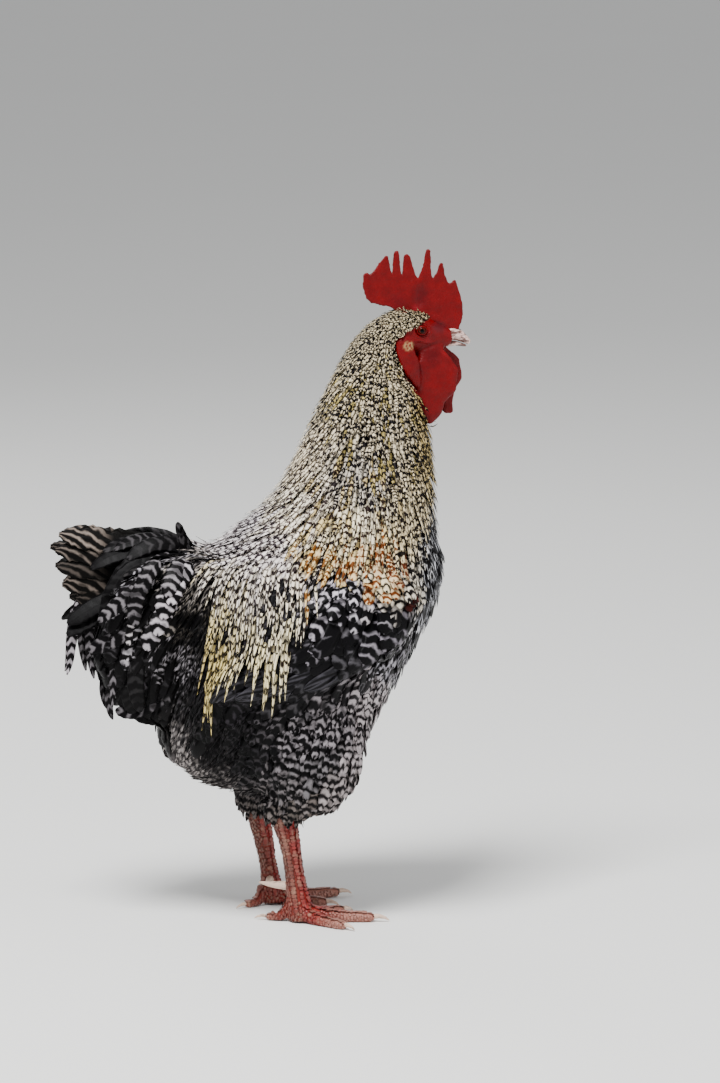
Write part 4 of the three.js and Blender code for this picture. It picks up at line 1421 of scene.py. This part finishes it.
# The lowest roots of the saddle's hackles: ahead and up.
SADDLE_HEM = table_of([
    (-50, 246), (-40, 254), (-30, 268), (-20, 284), (-8, 288), (3, 272), (9, 266), (15, 280), (24, 306), (36, 330),
])


def saddle_coat(coat):
    """Long, free-hanging saddle hackles with pointed ends."""
    x, y, z = coat.places
    hem = np.interp(x / MM, *SADDLE_HEM) * MM
    mask = (z > hem) & (z < 0.352) & (x < 0.037) & (x > -0.045) & (np.abs(y) > 0.03)
    mask = mask & coat.on("trunk", *both("wing"))
    lowness = lambda at: smoothstep(0.34, 0.27, at[:, 2])

    def heading(at):
        back = 0.06 + 0.10 * smoothstep(0.01, -0.05, at[:, 0])
        return np.column_stack([-back, 0.35 * np.sign(at[:, 1]) * (1 - lowness(at)), -np.ones(len(at))])

    def tints(at):
        tints = coat.tints(at, stray=0.009, rows=SADDLE_COLOURS)
        tints[:, 6] *= 1.6
        tints[:, 7] += 0.02
        return tints

    return coat.cover(
        mask, lambda q: 0.0036 + 0.0010 * smoothstep(0.33, 0.28, q[:, 2]),
        lambda at: 0.050 + 0.012 * lowness(at), 0.0029, 13, lambda at: 0.0120 + 0.0045 * lowness(at),
        "lance", yaw=0.07, vary=0.18, follow=0.0, free=0.85, sag=0.14, roll=0.09, thick=0.05,
        heading=heading, root_tints=tints, band=(LEVEL_BANDS, 0.35),
    )


def rump_coat(coat):
    """Narrow dark feathers over the root of the tail."""
    x, _, z = coat.places
    mask = (x < -0.042) & (x > -0.100) & (z > 0.262 - 1.4 * np.clip(x + 0.07, 0, 0.02))
    return coat.cover(mask, 0.0046, 0.044, 0.0036, 10, 0.0095, "pointed", yaw=0.14, free=0.4, sag=0.03)


# The rear edge of the breast's front feathers: up and ahead, in millimetres.
BREAST_EDGE = table_of([(200, 110), (283, 127), (295, 135), (311, 144), (328, 147), (365, 144)])


def breast_front(coat):
    """Whether each triangle is on the front of the breast."""
    x, _, z = coat.places
    return (x > np.interp(z / MM, *BREAST_EDGE) * MM) & (z > 0.20)


def front_coat(coat):
    """Narrow dark feathers with silver edges, hanging down the front of the breast."""
    mask = coat.on("trunk", "neck") & breast_front(coat) & (coat.places[2] < 0.368)
    return coat.cover(
        mask, 0.0050, 0.034, 0.0056, 10, lambda at: coat_depth(at) + 0.0002, "round", columns=5,
        yaw=0.10, ragged=0.1, roll=0.08, thick=0.10, vary=0.2, band=(BODY_BANDS, 0.4),
    )


def breast_coat(coat):
    """Rounded, overlapping feathers of the breast, shoulders and flanks."""
    x, _, z = coat.places
    back = (z > 0.335) & (x < 0.075)
    drumstick = (z < 0.20) & coat.on(*both("thigh"))
    mask = coat.on("trunk", *both("thigh")) & (x > -0.01) & (z > 0.13)
    return coat.cover(
        mask & ~back & ~drumstick & ~breast_front(coat),
        lambda q: 0.0050 + 0.0014 * smoothstep(0.34, 0.28, q[:, 2]),
        0.034, 0.0066, 12, lambda at: coat_depth(at) + 0.0006, "round", columns=5,
        yaw=0.18, ragged=0.22, roll=0.16, thick=0.10, vary=0.18, band=(BODY_BANDS, 0.10),
    )


def wing_coat(coat):
    """The wing's coverts, in rounded rows."""
    x, _, z = coat.places
    # The saddle's hackles hang over the wing's rear part, which carries no coverts of its own.
    under = (x < 0.028) & (z > 0.268)
    lowness = lambda at: smoothstep(0.335, 0.295, at[:, 2])
    # The lowest ones are longer and point further back.
    last = lambda at: smoothstep(0.290, 0.270, at[:, 2])
    return coat.cover(
        coat.on(*both("wing")) & (x > -0.06) & ~under,
        lambda q: 0.0052 + 0.0034 * smoothstep(0.335, 0.30, q[:, 2]),
        lambda at: 0.028 + 0.016 * lowness(at) + 0.012 * last(at),
        lambda at: 0.0058 + 0.0050 * lowness(at) - 0.0024 * last(at),
        14, lambda at: coat_depth(at) + 0.0008, "round", columns=5,
        yaw=0.16, ragged=0.18, roll=0.10, thick=0.09, vary=0.2, band=((-0.35, 0, -0.93), 0.10),
        heading=lambda at: lie(at) * (1 - last(at)[:, None]) + np.array([-0.85, 0, -0.53]) * last(at)[:, None],
    )


def thigh_coat(coat):
    """Soft, loose feathers of the thighs, with finer ones along the hem."""
    _, y, z = coat.places
    lowest = np.where(y < 0, 0.108, 0.099)
    hem = lambda at: smoothstep(0.15, 0.105, at[:, 2])
    return coat.cover(
        coat.on(*both("thigh")) & (z < 0.20) & (z > lowest),
        lambda q: 0.0034 + 0.0022 * smoothstep(0.11, 0.15, q[:, 2]),
        lambda at: 0.034 - 0.019 * hem(at), lambda at: 0.0062 - 0.0032 * hem(at), 10,
        lambda at: coat_depth(at) + 0.0010, "round", columns=5,
        yaw=0.30, roll=0.22, ragged=0.35, free=0.15, vary=0.22, thick=0.10, band=(BODY_BANDS, 0.08),
    )


def fluff_coat(coat):
    """Downy feathers under the tail and on the belly."""
    x, _, z = coat.places
    mask = coat.on("trunk") & ((x <= -0.01) & (z < 0.30) | (z < 0.13))
    return coat.cover(
        mask, 0.0040, 0.024, 0.0036, 8, 0.0095, "pointed", yaw=0.35, roll=0.4, ragged=0.35, free=0.3, vary=0.22
    )


def covert_coat(coat):
    """Broad, curved coverts hanging over the sides of the tail."""

    def tints(at):
        tints = coat.tints(at + np.array([-0.01, 0, -0.02]), stray=0.008)
        # Most of them are plain black.
        tints[:, :3] *= np.where(coat.rng.random(len(at)) < 0.6, 0.06, 1.0)[:, None]
        tints[:, 7] = np.clip(tints[:, 7], 0.36, 0.5)
        return tints

    return coat.cover(
        coat.on(*both("tail_coverts")) & (coat.places[0] < -0.07), 0.0068, 0.050, 0.0080, 14, 0.0105,
        "round", columns=5, yaw=0.22, roll=0.25, ragged=0.22, free=0.3, sag=0.03, vary=0.2, root_tints=tints,
    )


# ---- Long feathers that stand free of the body, and the scales of the legs ----


def bezier(controls, t):
    """Rows of points on curves given by their controls (curves by controls by 3)."""
    level = np.repeat(controls[:, :, None, :], len(t), axis=2)
    while level.shape[1] > 1:
        level = level[:, :-1] * (1 - t[None, None, :, None]) + level[:, 1:] * t[None, None, :, None]
    return level[:, 0].transpose(1, 0, 2)


def free_batch(coat, controls, facing, width, rows, tints, **look):
    """Feathers on free curves. facing is the way that their outer faces look."""
    points = bezier(controls, row_shares(rows))
    _, _, pick = coat.surface.nearest(points[0])
    normals = np.repeat(unit(np.array(facing, float))[None], rows + 1, axis=0)
    patch = coat.surface.unwrap[pick]
    return dict(points=points, normals=normals, width=width, shape="round", tints=np.array(tints), patch=patch, **look)


# Ends of the tail's main feathers, from the top down: ahead and up in millimetres, and how bright their
# pale bars are.
TAIL_TIPS = [
    (-183, 364, 0.90), (-192, 351, 0.70), (-190, 335, 0.45), (-182, 318, 0.70),
    (-173, 302, 0.45), (-161, 288, 0.85), (-148, 278, 0.40),
]
TAIL_PALE, TAIL_DUSK = (142, 128, 118), (6, 5, 4)


def tail_quills(coat):
    """The fan of main feathers, seven a side."""
    rng = coat.rng
    controls, facing, tints = [], [], []
    for sign in SIDES.values():
        for i, (x, z, bright) in enumerate(TAIL_TIPS):
            up = 338 - 5 * i
            root = (-58, sign * (3 + i), up)
            bend = (-120, sign * (7 + 2.4 * i), up * 0.5 + z * 0.5 + 3 - 2 * i)
            tip = (x + rng.normal() * 2, sign * (5 + 2.2 * i), z + rng.normal() * 2)
            controls.append([root, bend, tip])
            facing.append((0.05, sign, 0.35 - 0.08 * i))
            pale = np.array(TAIL_PALE) * bright
            tints.append(tint_row(pale, TAIL_DUSK, 19 + 2 * rng.normal(), 0.32 + 0.04 * rng.normal()))
    n = len(controls)
    batch = free_batch(
        coat, np.array(controls) * MM, facing, np.full(n, 0.0140), 30, tints,
        ragged=0.30, thick=0.05, roll=0.07, phase=rng.random(n),
    )
    return [vanes("fan", [batch], rng, columns=9)]


# Curved tail feathers of the left side: their curves' controls in millimetres, half widths and
# how bright their pale bars are.
SICKLES = [
    ([(-75, 4, 330), (-125, 6, 340), (-165, 9, 330), (-182, 12, 296), (-170, 14, 262), (-180, 13, 233)], 5.0, 0.90),
    ([(-75, 6, 326), (-115, 9, 334), (-150, 12, 320), (-166, 16, 288), (-162, 18, 262), (-156, 18, 230)], 5.0, 0.55),
    ([(-80, 22, 322), (-115, 38, 330), (-142, 46, 300), (-138, 46, 262), (-140, 42, 208)], 4.5, 0.55),
    ([(-76, 26, 328), (-98, 44, 332), (-120, 52, 300), (-122, 52, 270), (-126, 48, 240)], 10.0, 0.24),
    ([(-88, 28, 308), (-126, 42, 300), (-142, 43, 262), (-134, 38, 226), (-130, 34, 203)], 6.5, 0.16),
    ([(-90, 30, 298), (-124, 44, 284), (-138, 43, 240), (-134, 36, 200), (-100, 30, 190)], 8.0, 0.12),
    ([(-80, 20, 338), (-112, 30, 350), (-136, 36, 336), (-146, 38, 310), (-148, 36, 282)], 8.0, 0.12),
    ([(-72, 14, 342), (-92, 22, 354), (-114, 28, 350), (-132, 31, 336), (-142, 31, 316)], 8.0, 0.14),
    ([(-74, 22, 336), (-90, 36, 348), (-108, 44, 338), (-118, 50, 316), (-124, 50, 290)], 10.0, 0.50),
    ([(-70, 24, 338), (-80, 36, 348), (-94, 44, 342), (-104, 48, 326), (-106, 47, 306)], 9.0, 0.30),
    ([(-90, 34, 280), (-114, 48, 268), (-128, 48, 236), (-126, 42, 212), (-120, 38, 198)], 8.5, 0.10),
    ([(-84, 32, 290), (-110, 50, 282), (-124, 52, 250), (-118, 48, 222), (-112, 42, 204)], 8.5, 0.16),
    ([(-60, 16, 340), (-72, 22, 352), (-74, 24, 366)], 4.5, 0.30),
    ([(-68, 46, 346), (-86, 60, 340), (-90, 66, 316)], 9.5, 0.70),
    ([(-71, 48, 338), (-89, 62, 330), (-93, 67, 303)], 10.5, 1.00),
    ([(-75, 50, 328), (-93, 63, 318), (-96, 67, 291)], 11.0, 0.94),
    ([(-79, 50, 316), (-98, 63, 304), (-101, 66, 278)], 11.0, 0.88),
    ([(-84, 48, 302), (-104, 61, 292), (-110, 63, 264)], 10.5, 0.80),
    ([(-62, 7, 344), (-88, 12, 364), (-114, 15, 364), (-134, 17, 350)], 8.0, 0.34),
    ([(-66, 4, 342), (-96, 8, 362), (-124, 11, 362), (-146, 13, 348)], 8.0, 0.24),
    ([(-60, 14, 342), (-80, 20, 360), (-104, 25, 360), (-124, 28, 342)], 8.5, 0.25),
    ([(-66, 10, 338), (-104, 14, 352), (-136, 18, 350), (-158, 18, 332)], 9.0, 0.10),
    ([(-110, 30, 262), (-140, 34, 240), (-146, 32, 214), (-137, 30, 192)], 4.0, 0.45),
    ([(-84, 34, 222), (-106, 40, 204), (-124, 38, 197), (-139, 35, 203)], 7.5, 0.45),
    ([(-100, 18, 318), (-150, 20, 306), (-183, 20, 281)], 10.0, 0.08),
    ([(-100, 16, 302), (-150, 18, 292), (-180, 18, 271)], 9.0, 0.10),
    ([(-100, 56, 330), (-128, 60, 314), (-153, 52, 289)], 7.5, 0.58),
    ([(-106, 58, 330), (-126, 64, 314), (-121, 62, 284)], 8.0, 0.50),
    ([(-98, 54, 346), (-112, 61, 337), (-120, 61, 312)], 8.0, 0.60),
    ([(-118, 50, 290), (-144, 50, 272), (-164, 38, 264)], 8.0, 0.50),
]
SICKLE_PALE, SICKLE_DUSK = (192, 184, 190), (5, 4, 5)


def sickle_quills(coat):
    """Sickles and the longest coverts, curved over the fan on each side."""
    rng = coat.rng
    groups = {}  # by how many controls the curves have
    for sign in SIDES.values():
        for controls, width, bright in SICKLES:
            moved = np.array(controls, float) * (1, sign, 1) + rng.normal(size=3) * (1.5, 0.8, 1.5)
            groups.setdefault(len(controls), []).append((moved, sign, width, bright))
    batches = []
    for rows in groups.values():
        controls, signs, widths, brights = zip(*rows)
        tints = [
            tint_row(np.array(SICKLE_PALE) * bright, SICKLE_DUSK, 9 + rng.normal(), 0.44 + 0.05 * rng.normal())
            for bright in brights
        ]
        # The closer a feather is to the middle plane, the more it faces up.
        facing = [(-0.2, sign, 0.25 + 8 / abs(curve[1, 1])) for curve, sign in zip(controls, signs)]
        batches.append(
            free_batch(
                coat, np.array(controls) * MM, facing, np.array(widths) * MM, 24, tints,
                ragged=0.14, thick=0.10, roll=0.06,
            )
        )
    return [vanes("sickles", batches, rng, columns=9)]


def wing_quills(coat):
    """The folded flight feathers along the wing's lower edge, ten a side."""
    places = [(104 - 11 * i, sign * 106, 262 - 1.2 * i) for sign in SIDES.values() for i in range(10)]
    at, up, pick = coat.surface.nearest(np.array(places) * MM)
    n = len(at)
    i = np.arange(n) % 10
    batch = coat.batch(
        at, up, pick, 0.088 - 0.002 * i, np.full(n, 0.0085), 16, 0.0085 + 0.0002 * i, "round",
        yaw=0.02, heading=np.tile((-0.90, 0, -0.40), (n, 1)), follow=0.0, roll=0.05, thick=0.08, ragged=0.06,
        tints=np.tile(tint_row((64, 62, 68), (10, 9, 11), 30.0, 0.36), (n, 1)),
    )
    return [vanes("flight", [batch], coat.rng, columns=7)]


def axis_of(node, towards):
    """The two ends of a long node's middle line, the second the one nearer to towards."""
    points = points_of(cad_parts[node])
    centre = points.mean(axis=0)
    line = np.linalg.svd(points - centre, full_matrices=False)[2][0]
    along = (points - centre) @ line
    ends = [centre + line * along.min(), centre + line * along.max()]
    ends.sort(key=lambda e: -np.linalg.norm(e - np.array(towards)))
    return ends


SHANK_ROWS = 30
SCALE_LOOK = dict(follow=0.0, roll=0.02, ragged=0.04)


def leg_scales(coat):
    """Plates down the front of the shanks and along the toes, and small scales round the sides."""
    s, rng = coat.surface, coat.rng
    seek, heads, size = [], [], []
    for side, sign in SIDES.items():
        top, foot = axis_of(f"shank_{side}", (0.02, sign * 0.04, 0.0))
        claw = middle(f"claw_middle_{side}")
        ahead = unit(np.array([claw.x - foot[0], claw.y - foot[1], 0]))
        out = np.array([-ahead[1], ahead[0], 0])
        for k in range(SHANK_ROWS):
            t = (k + 0.5) / SHANK_ROWS
            for turn in (-0.36, 0.36, -1.05, 1.05, -1.75, 1.75):
                look = ahead * math.cos(turn) + out * math.sin(turn)
                # The plates of one side sit between those of the other.
                seek.append(top + (foot - top) * (t * 0.88 + (0.015 if turn > 0 else 0)) + look * 0.02)
                heads.append((0, 0, -1))
                size.append((0.0044, 0.0036 if abs(turn) < 1 else 0.0027))
        for toe in TOES:
            near, far = axis_of(f"toe_{toe}_{side}", middle(f"claw_{toe}_{side}"))
            count = int(np.linalg.norm(far - near) / 0.0036)
            for k in range(count):
                t = (k + 0.3) / count
                seek.append(near + (far - near) * t + np.array([0, 0, 0.012]))
                heads.append(far - near)
                size.append((0.0056, 0.0050 - 0.0016 * t))
    at, up, pick = s.nearest(np.array(seek))
    length, width = np.array(size).T
    wide = coat.batch(
        at, up, pick, length, width, 4, 0.0008, "round", yaw=0.0, thick=0.08,
        heading=np.array(heads), tints=leg_tints(at, rng), **SCALE_LOOK,
    )
    z = coat.places[2]
    a, u, k = coat.roots(coat.on(*LEG_NODES) & (z < 0.112) & (z > 0.003), 0.0022)
    clear = np.array([np.min(np.linalg.norm(at - p, axis=1)) > 0.0030 for p in a])
    a, u, k = a[clear], u[clear], k[clear]
    small = coat.batch(
        a, u, k, 0.0032, 0.0014, 4, 0.0006, "round", yaw=0.1, thick=0.18,
        heading=np.tile((0.0, 0.0, -1.0), (len(a), 1)), tints=leg_tints(a, rng), **SCALE_LOOK,
    )
    return vanes("leg_scales", [wide, small], rng, columns=5)


LEG_BROWN, LEG_FRONT, TOE_PALE = (100, 60, 48), (126, 30, 26), (180, 136, 120)


def leg_colours(points, brown=LEG_BROWN):
    """Brown, with red along the front of the shanks and paler toes."""
    left, right = (middle(node) for node in both("shank"))
    lean = 0.012 * (0.05 - points[:, 2]) / 0.05
    ahead = points[:, 0] - (np.where(points[:, 1] > 0, left.x, right.x) + lean)
    aside = np.abs(points[:, 1]) - (abs(left.y) + abs(right.y)) / 2
    red = smoothstep(-0.004, 0.010, ahead) + 0.5 * smoothstep(0.04, 0.02, points[:, 2])
    red = np.clip(red + 0.25 * noise_at(points, 0.012, 6), 0, 1)
    brown, front, pale = (linear(colour) for colour in (brown, LEG_FRONT, TOE_PALE))
    mixed = brown + (front - brown) * red[:, None]
    toe = 0.6 * smoothstep(0.016, 0.046, np.hypot(ahead, aside))
    return mixed + (pale - mixed) * toe[:, None]


def leg_tints(points, rng):
    """The leg's colours, a little different on each scale."""
    pale = leg_colours(points) * (1 + 0.10 * rng.standard_normal((len(points), 1)))
    return np.hstack([pale, pale * 0.62, np.tile((3.0, 0.5), (len(points), 1))])


# ---- Add-on ----


def colour_property(name, description, default):
    """A colour, kept as display values of 0 to 1."""
    return FloatVectorProperty(
        name=name, description=description, default=default, subtype="COLOR_GAMMA", size=3, min=0, max=1
    )


def number_property(name, description, default, **limits):
    """A number, with its unit and limits."""
    return FloatProperty(name=name, description=description, default=default, **limits)


def bytes_of(colour):
    """A display colour of 0 to 1 as 0 to 255."""
    return [c * 255 for c in colour]


class SkinSettings(bpy.types.PropertyGroup):
    """Colours of the bare skin."""

    comb: colour_property("Comb", "Comb and wattles", (0.385, 0.0, 0.016))
    face: colour_property("Face", "Bare face round the eye", (0.39, 0.0, 0.018))
    lobe: colour_property("Lobe", "Pale patch of the ear lobe", (0.60, 0.49, 0.34))
    leg: colour_property("Legs", "Shanks and toes", (0.42, 0.22, 0.18))


class EyeSettings(bpy.types.PropertyGroup):
    """Sizes and colours of the eyes."""

    iris: colour_property("Iris", "Iris colour", (0.33, 0.075, 0.035))
    pupil: number_property("Pupil", "Radius of the pupil", 0.0019, unit="LENGTH", min=0.0005, max=0.004)
    rim: number_property("Iris edge", "Radius of the iris", 0.0036, unit="LENGTH", min=0.001, max=0.005)


class HornSettings(bpy.types.PropertyGroup):
    """Colours of the bill, claws and spurs."""

    bill: colour_property("Bill", "Pale part of the bill", (0.87, 0.74, 0.70))
    bill_stain: colour_property("Bill stain", "Dark part of the bill", (0.30, 0.14, 0.11))
    claw: colour_property("Claws", "Claws and spurs", (0.88, 0.76, 0.68))


class PlumageSettings(bpy.types.PropertyGroup):
    """Sizes of the coat."""

    seed: IntProperty(name="Seed", description="Start of the random draws", default=11)
    length: number_property("Length", "Length of the feathers against the usual", 1.0, min=0.7, max=1.3)


class StageSettings(bpy.types.PropertyGroup):
    """Floor, lights and camera."""

    floor: colour_property("Floor", "Colour of the floor", (0.95, 0.95, 0.94))
    key: number_property("Key light", "Main light", 245.0, unit="POWER", min=0)
    fill: number_property("Fill light", "Light from the other side", 22.0, unit="POWER", min=0)
    sky: number_property("Sky", "Strength of the even light from all round", 0.5, min=0)
    azimuth: number_property("Azimuth", "The camera's turn from the bird's right", math.radians(-8), subtype="ANGLE")
    elevation: number_property("Elevation", "The camera's height above the level", math.radians(9), subtype="ANGLE")
    distance: number_property("Distance", "From the camera to the bird", 5.5, unit="LENGTH", min=1)


class CockerelSettings(bpy.types.PropertyGroup):
    """All the settings of the bird."""

    skin: PointerProperty(type=SkinSettings)
    eyes: PointerProperty(type=EyeSettings)
    horn: PointerProperty(type=HornSettings)
    plumage: PointerProperty(type=PlumageSettings)
    stage: PointerProperty(type=StageSettings)


def settings():
    """The sizes and colours in the sidebar."""
    return bpy.context.scene.cockerel


def coat_for(number):
    """A coat on the finished skin, with its own random draws."""
    if "surface" not in MADE:
        raise RuntimeError("make the skin before its coat")
    plumage = settings().plumage
    return Coat(MADE["surface"], plumage.seed + number, plumage.length)


def grow(builder, number, material, nodes=()):
    """Makes a coat's meshes and finishes them as pieces."""
    made = builder(coat_for(number))
    for i, piece in enumerate(made):
        put_material(piece, material)
        name = builder.__name__ + (f"_{i + 1}" if len(made) > 1 else "")
        finish_piece(piece, name, nodes if i == 0 else ())


STEPS = []


def step(name, label):
    """Turns a function into an operator of the add-on, which takes its place in the order of work."""

    def wrap(make):
        def execute(self, context):
            make()
            return {"FINISHED"}

        parts = {"__doc__": make.__doc__, "bl_idname": f"cockerel.{name}", "bl_label": label, "execute": execute}
        STEPS.append(type(f"COCKEREL_OT_{name}", (bpy.types.Operator,), parts))
        return make

    return wrap


def point_at(obj, place, target):
    """Puts a light or camera at place, looking at target."""
    obj.location = place
    obj.rotation_mode = "QUATERNION"
    obj.rotation_quaternion = (Vector(target) - Vector(place)).to_track_quat("-Z", "Y")


def add_light(name, place, size, power):
    """A soft, square light that looks at the bird."""
    data = bpy.data.lights.new(name, "AREA")
    data.shape, data.size, data.energy = "SQUARE", size, power
    light = bpy.data.objects.new(name, data)
    bpy.context.scene.collection.objects.link(light)
    point_at(light, place, (0, 0, 0.3))


# The size of the floor, and what the camera looks at: the middle of the picture.
FLOOR_SIZE = 90
LOOK_AT = Vector((0.095, 0.0, 0.350))
LENS, SENSOR = 196.9, 36  # in millimetres


@step("stage", "Stage")
def make_stage():
    """Make the floor, the lights and the camera"""
    s = settings().stage
    deselect()
    bpy.ops.mesh.primitive_plane_add(size=FLOOR_SIZE)
    floor = bpy.context.object
    floor.name = "floor"
    put_material(floor, floor_material("studio floor", linear(bytes_of(s.floor))))
    add_light("key", (-0.9, -1.5, 3.4), 1.3, s.key)
    add_light("fill", (2.4, -1.6, 1.2), 2.0, s.fill)
    add_light("back", (-0.8, 2.6, 2.0), 1.6, s.fill)
    scene = bpy.context.scene
    scene.world = bpy.data.worlds.new("soft light")
    scene.world.use_nodes = True
    background = scene.world.node_tree.nodes["Background"]
    background.inputs["Color"].default_value = (0.97, 0.98, 1.0, 1)
    background.inputs["Strength"].default_value = s.sky
    data = bpy.data.cameras.new("camera")
    data.lens, data.sensor_width = LENS, SENSOR
    scene.camera = bpy.data.objects.new("camera", data)
    scene.collection.objects.link(scene.camera)
    level = math.cos(s.elevation)
    back = Vector((math.sin(s.azimuth) * level, -math.cos(s.azimuth) * level, math.sin(s.elevation)))
    point_at(scene.camera, LOOK_AT + back * s.distance, LOOK_AT)


@step("skin", "Skin")
def make_skin():
    """Make the skin of the body, head, legs and feet"""
    skin = build_skin()
    unwrap(skin)
    colours = settings().skin
    paint_skin(skin, {key: bytes_of(getattr(colours, key)) for key in ("comb", "face", "lobe", "leg")})
    put_material(skin, skin_material())
    finish_piece(skin, "skin", SKIN_NODES)
    MADE["surface"] = Surface(skin)


@step("eyes", "Eyes")
def make_eyes():
    """Make the eyes"""
    s = settings().eyes
    material = eye_material("eyeball", bytes_of(s.iris), s.pupil, s.rim)
    for side in SIDES:
        ball = build_eye(side)
        put_material(ball, material)
        finish_piece(ball, f"eyeball_{side}", [f"eye_{side}"])


@step("horn", "Bill, claws and spurs")
def make_horn():
    """Make the bill, claws and spurs"""
    s = settings().horn
    bill = horn_material("bill horn", bytes_of(s.bill), bytes_of(s.bill_stain), 0.75, 0.32)
    claw = horn_material("claw horn", bytes_of(s.claw), [c * 0.5 for c in bytes_of(s.claw)], 0.3, 0.4)
    for node in ("bill_upper", "bill_lower"):
        piece = build_horn([node], node, voxel=0.00035)
        if node == "bill_upper":
            pinch_nostrils(piece)
        curve_bill(piece)
        put_material(piece, bill)
        finish_piece(piece, f"horn_{node}", [node])
    for side in SIDES:
        nodes = [f"spur_{side}", *[f"claw_{toe}_{side}" for toe in TOES]]
        piece = build_horn(nodes, f"claws_{side}", voxel=0.0005)
        put_material(piece, claw)
        finish_piece(piece, f"claws_{side}", nodes)


@step("leg_scales", "Leg scales")
def make_leg_scales():
    """Make the scales of the shanks and toes"""
    scales = leg_scales(coat_for(1))
    put_material(scales, scale_material("leg scale"))
    finish_piece(scales, "scales")


@step("hackles", "Neck hackles")
def make_hackles():
    """Make the hackles of the head and neck"""
    narrow = feather_material("hackle feather", wobble=1.4, softness=0.17, grain=330.0)
    grow(neck_coat, 2, narrow)


@step("body_coat", "Body feathers")
def make_body_coat():
    """Make the feathers of the back, breast, belly and thighs"""
    narrow = feather_material("back feather", slant=0.35, wobble=1.0)
    broad = feather_material("body feather", slant=0.45, wobble=1.2, softness=0.26, grain=170.0)
    down = feather_material("downy feather", wobble=1.0, softness=0.32, grain=130.0, sheen=0.03, roughness=0.8)
    laced = feather_material(
        "breast feather", slant=1.0, wobble=0.8, softness=0.10, edge=0.3, grain=110.0, blackout=0.3
    )
    grow(back_coat, 3, narrow)
    grow(breast_coat, 4, broad)
    grow(front_coat, 12, laced)
    grow(thigh_coat, 5, down)
    grow(fluff_coat, 6, down)


@step("wings", "Wing feathers")
def make_wings():
    """Make the feathers of the folded wings"""
    covert = feather_material("wing feather", slant=0.35, wobble=0.8, softness=0.24, grain=110.0, blackout=0.2)
    quill = feather_material(
        "flight feather", slant=1.5, wobble=0.6, softness=0.5, edge=0.4, grain=40.0, blackout=0.1
    )
    grow(wing_coat, 7, covert)
    grow(wing_quills, 8, quill)


@step("saddle", "Saddle hackles")
def make_saddle():
    """Make the hanging hackles of the saddle and rump"""
    dark = feather_material("rump feather", slant=0.8, wobble=0.7, softness=0.2, edge=0.8, blackout=0.25)
    straw = feather_material("saddle feather", slant=-0.2, wobble=0.7, edge=0.3)
    grow(rump_coat, 9, dark)
    grow(saddle_coat, 10, straw)


@step("tail", "Tail feathers")
def make_tail():
    """Make the tail's main feathers, sickles and coverts"""
    covert = feather_material(
        "tail feather", slant=0.40, wobble=0.9, softness=0.26, taper=0.35, grain=130.0, blackout=0.4
    )
    sickle = feather_material(
        "sickle feather", slant=0.45, wobble=0.9, softness=0.26, taper=0.22, grain=120.0, blackout=0.1
    )
    fan = feather_material(
        "fan feather", slant=0.1, lean=1.2, wobble=1.0, softness=0.30, taper=0.1, plain=52.0, grain=75.0, blackout=0.1
    )
    grow(covert_coat, 11, covert)
    grow(sickle_quills, 14, sickle, both("tail_sickle"))
    grow(tail_quills, 13, fan, ["tail_fan"])


class COCKEREL_PT_panel(bpy.types.Panel):
    """The bird's pieces and settings"""

    bl_label = "Cockerel"
    bl_idname = "COCKEREL_PT_panel"
    bl_space_type = "VIEW_3D"
    bl_region_type = "UI"
    bl_category = "Cockerel"

    def draw(self, context):
        for step in STEPS:
            self.layout.operator(step.bl_idname)
        for name in ("skin", "eyes", "horn", "plumage", "stage"):
            box = self.layout.box()
            part = getattr(context.scene.cockerel, name)
            for key in part.bl_rna.properties.keys():
                if key not in ("rna_type", "name"):
                    box.prop(part, key)


GROUPS_OF_SETTINGS = [SkinSettings, EyeSettings, HornSettings, PlumageSettings, StageSettings, CockerelSettings]
CLASSES = [*GROUPS_OF_SETTINGS, *STEPS, COCKEREL_PT_panel]


def register():
    """Adds the classes and the scene's settings."""
    for cls in CLASSES:
        bpy.utils.register_class(cls)
    bpy.types.Scene.cockerel = PointerProperty(type=CockerelSettings)


def unregister():
    """Takes them away again."""
    del bpy.types.Scene.cockerel
    for cls in reversed(CLASSES):
        bpy.utils.unregister_class(cls)


def main():
    """Makes every piece in order and notes the sizes."""
    register()
    for step in STEPS:
        area, name = step.bl_idname.split(".")
        getattr(getattr(bpy.ops, area), name)()


if __name__ == "__main__":
    main()
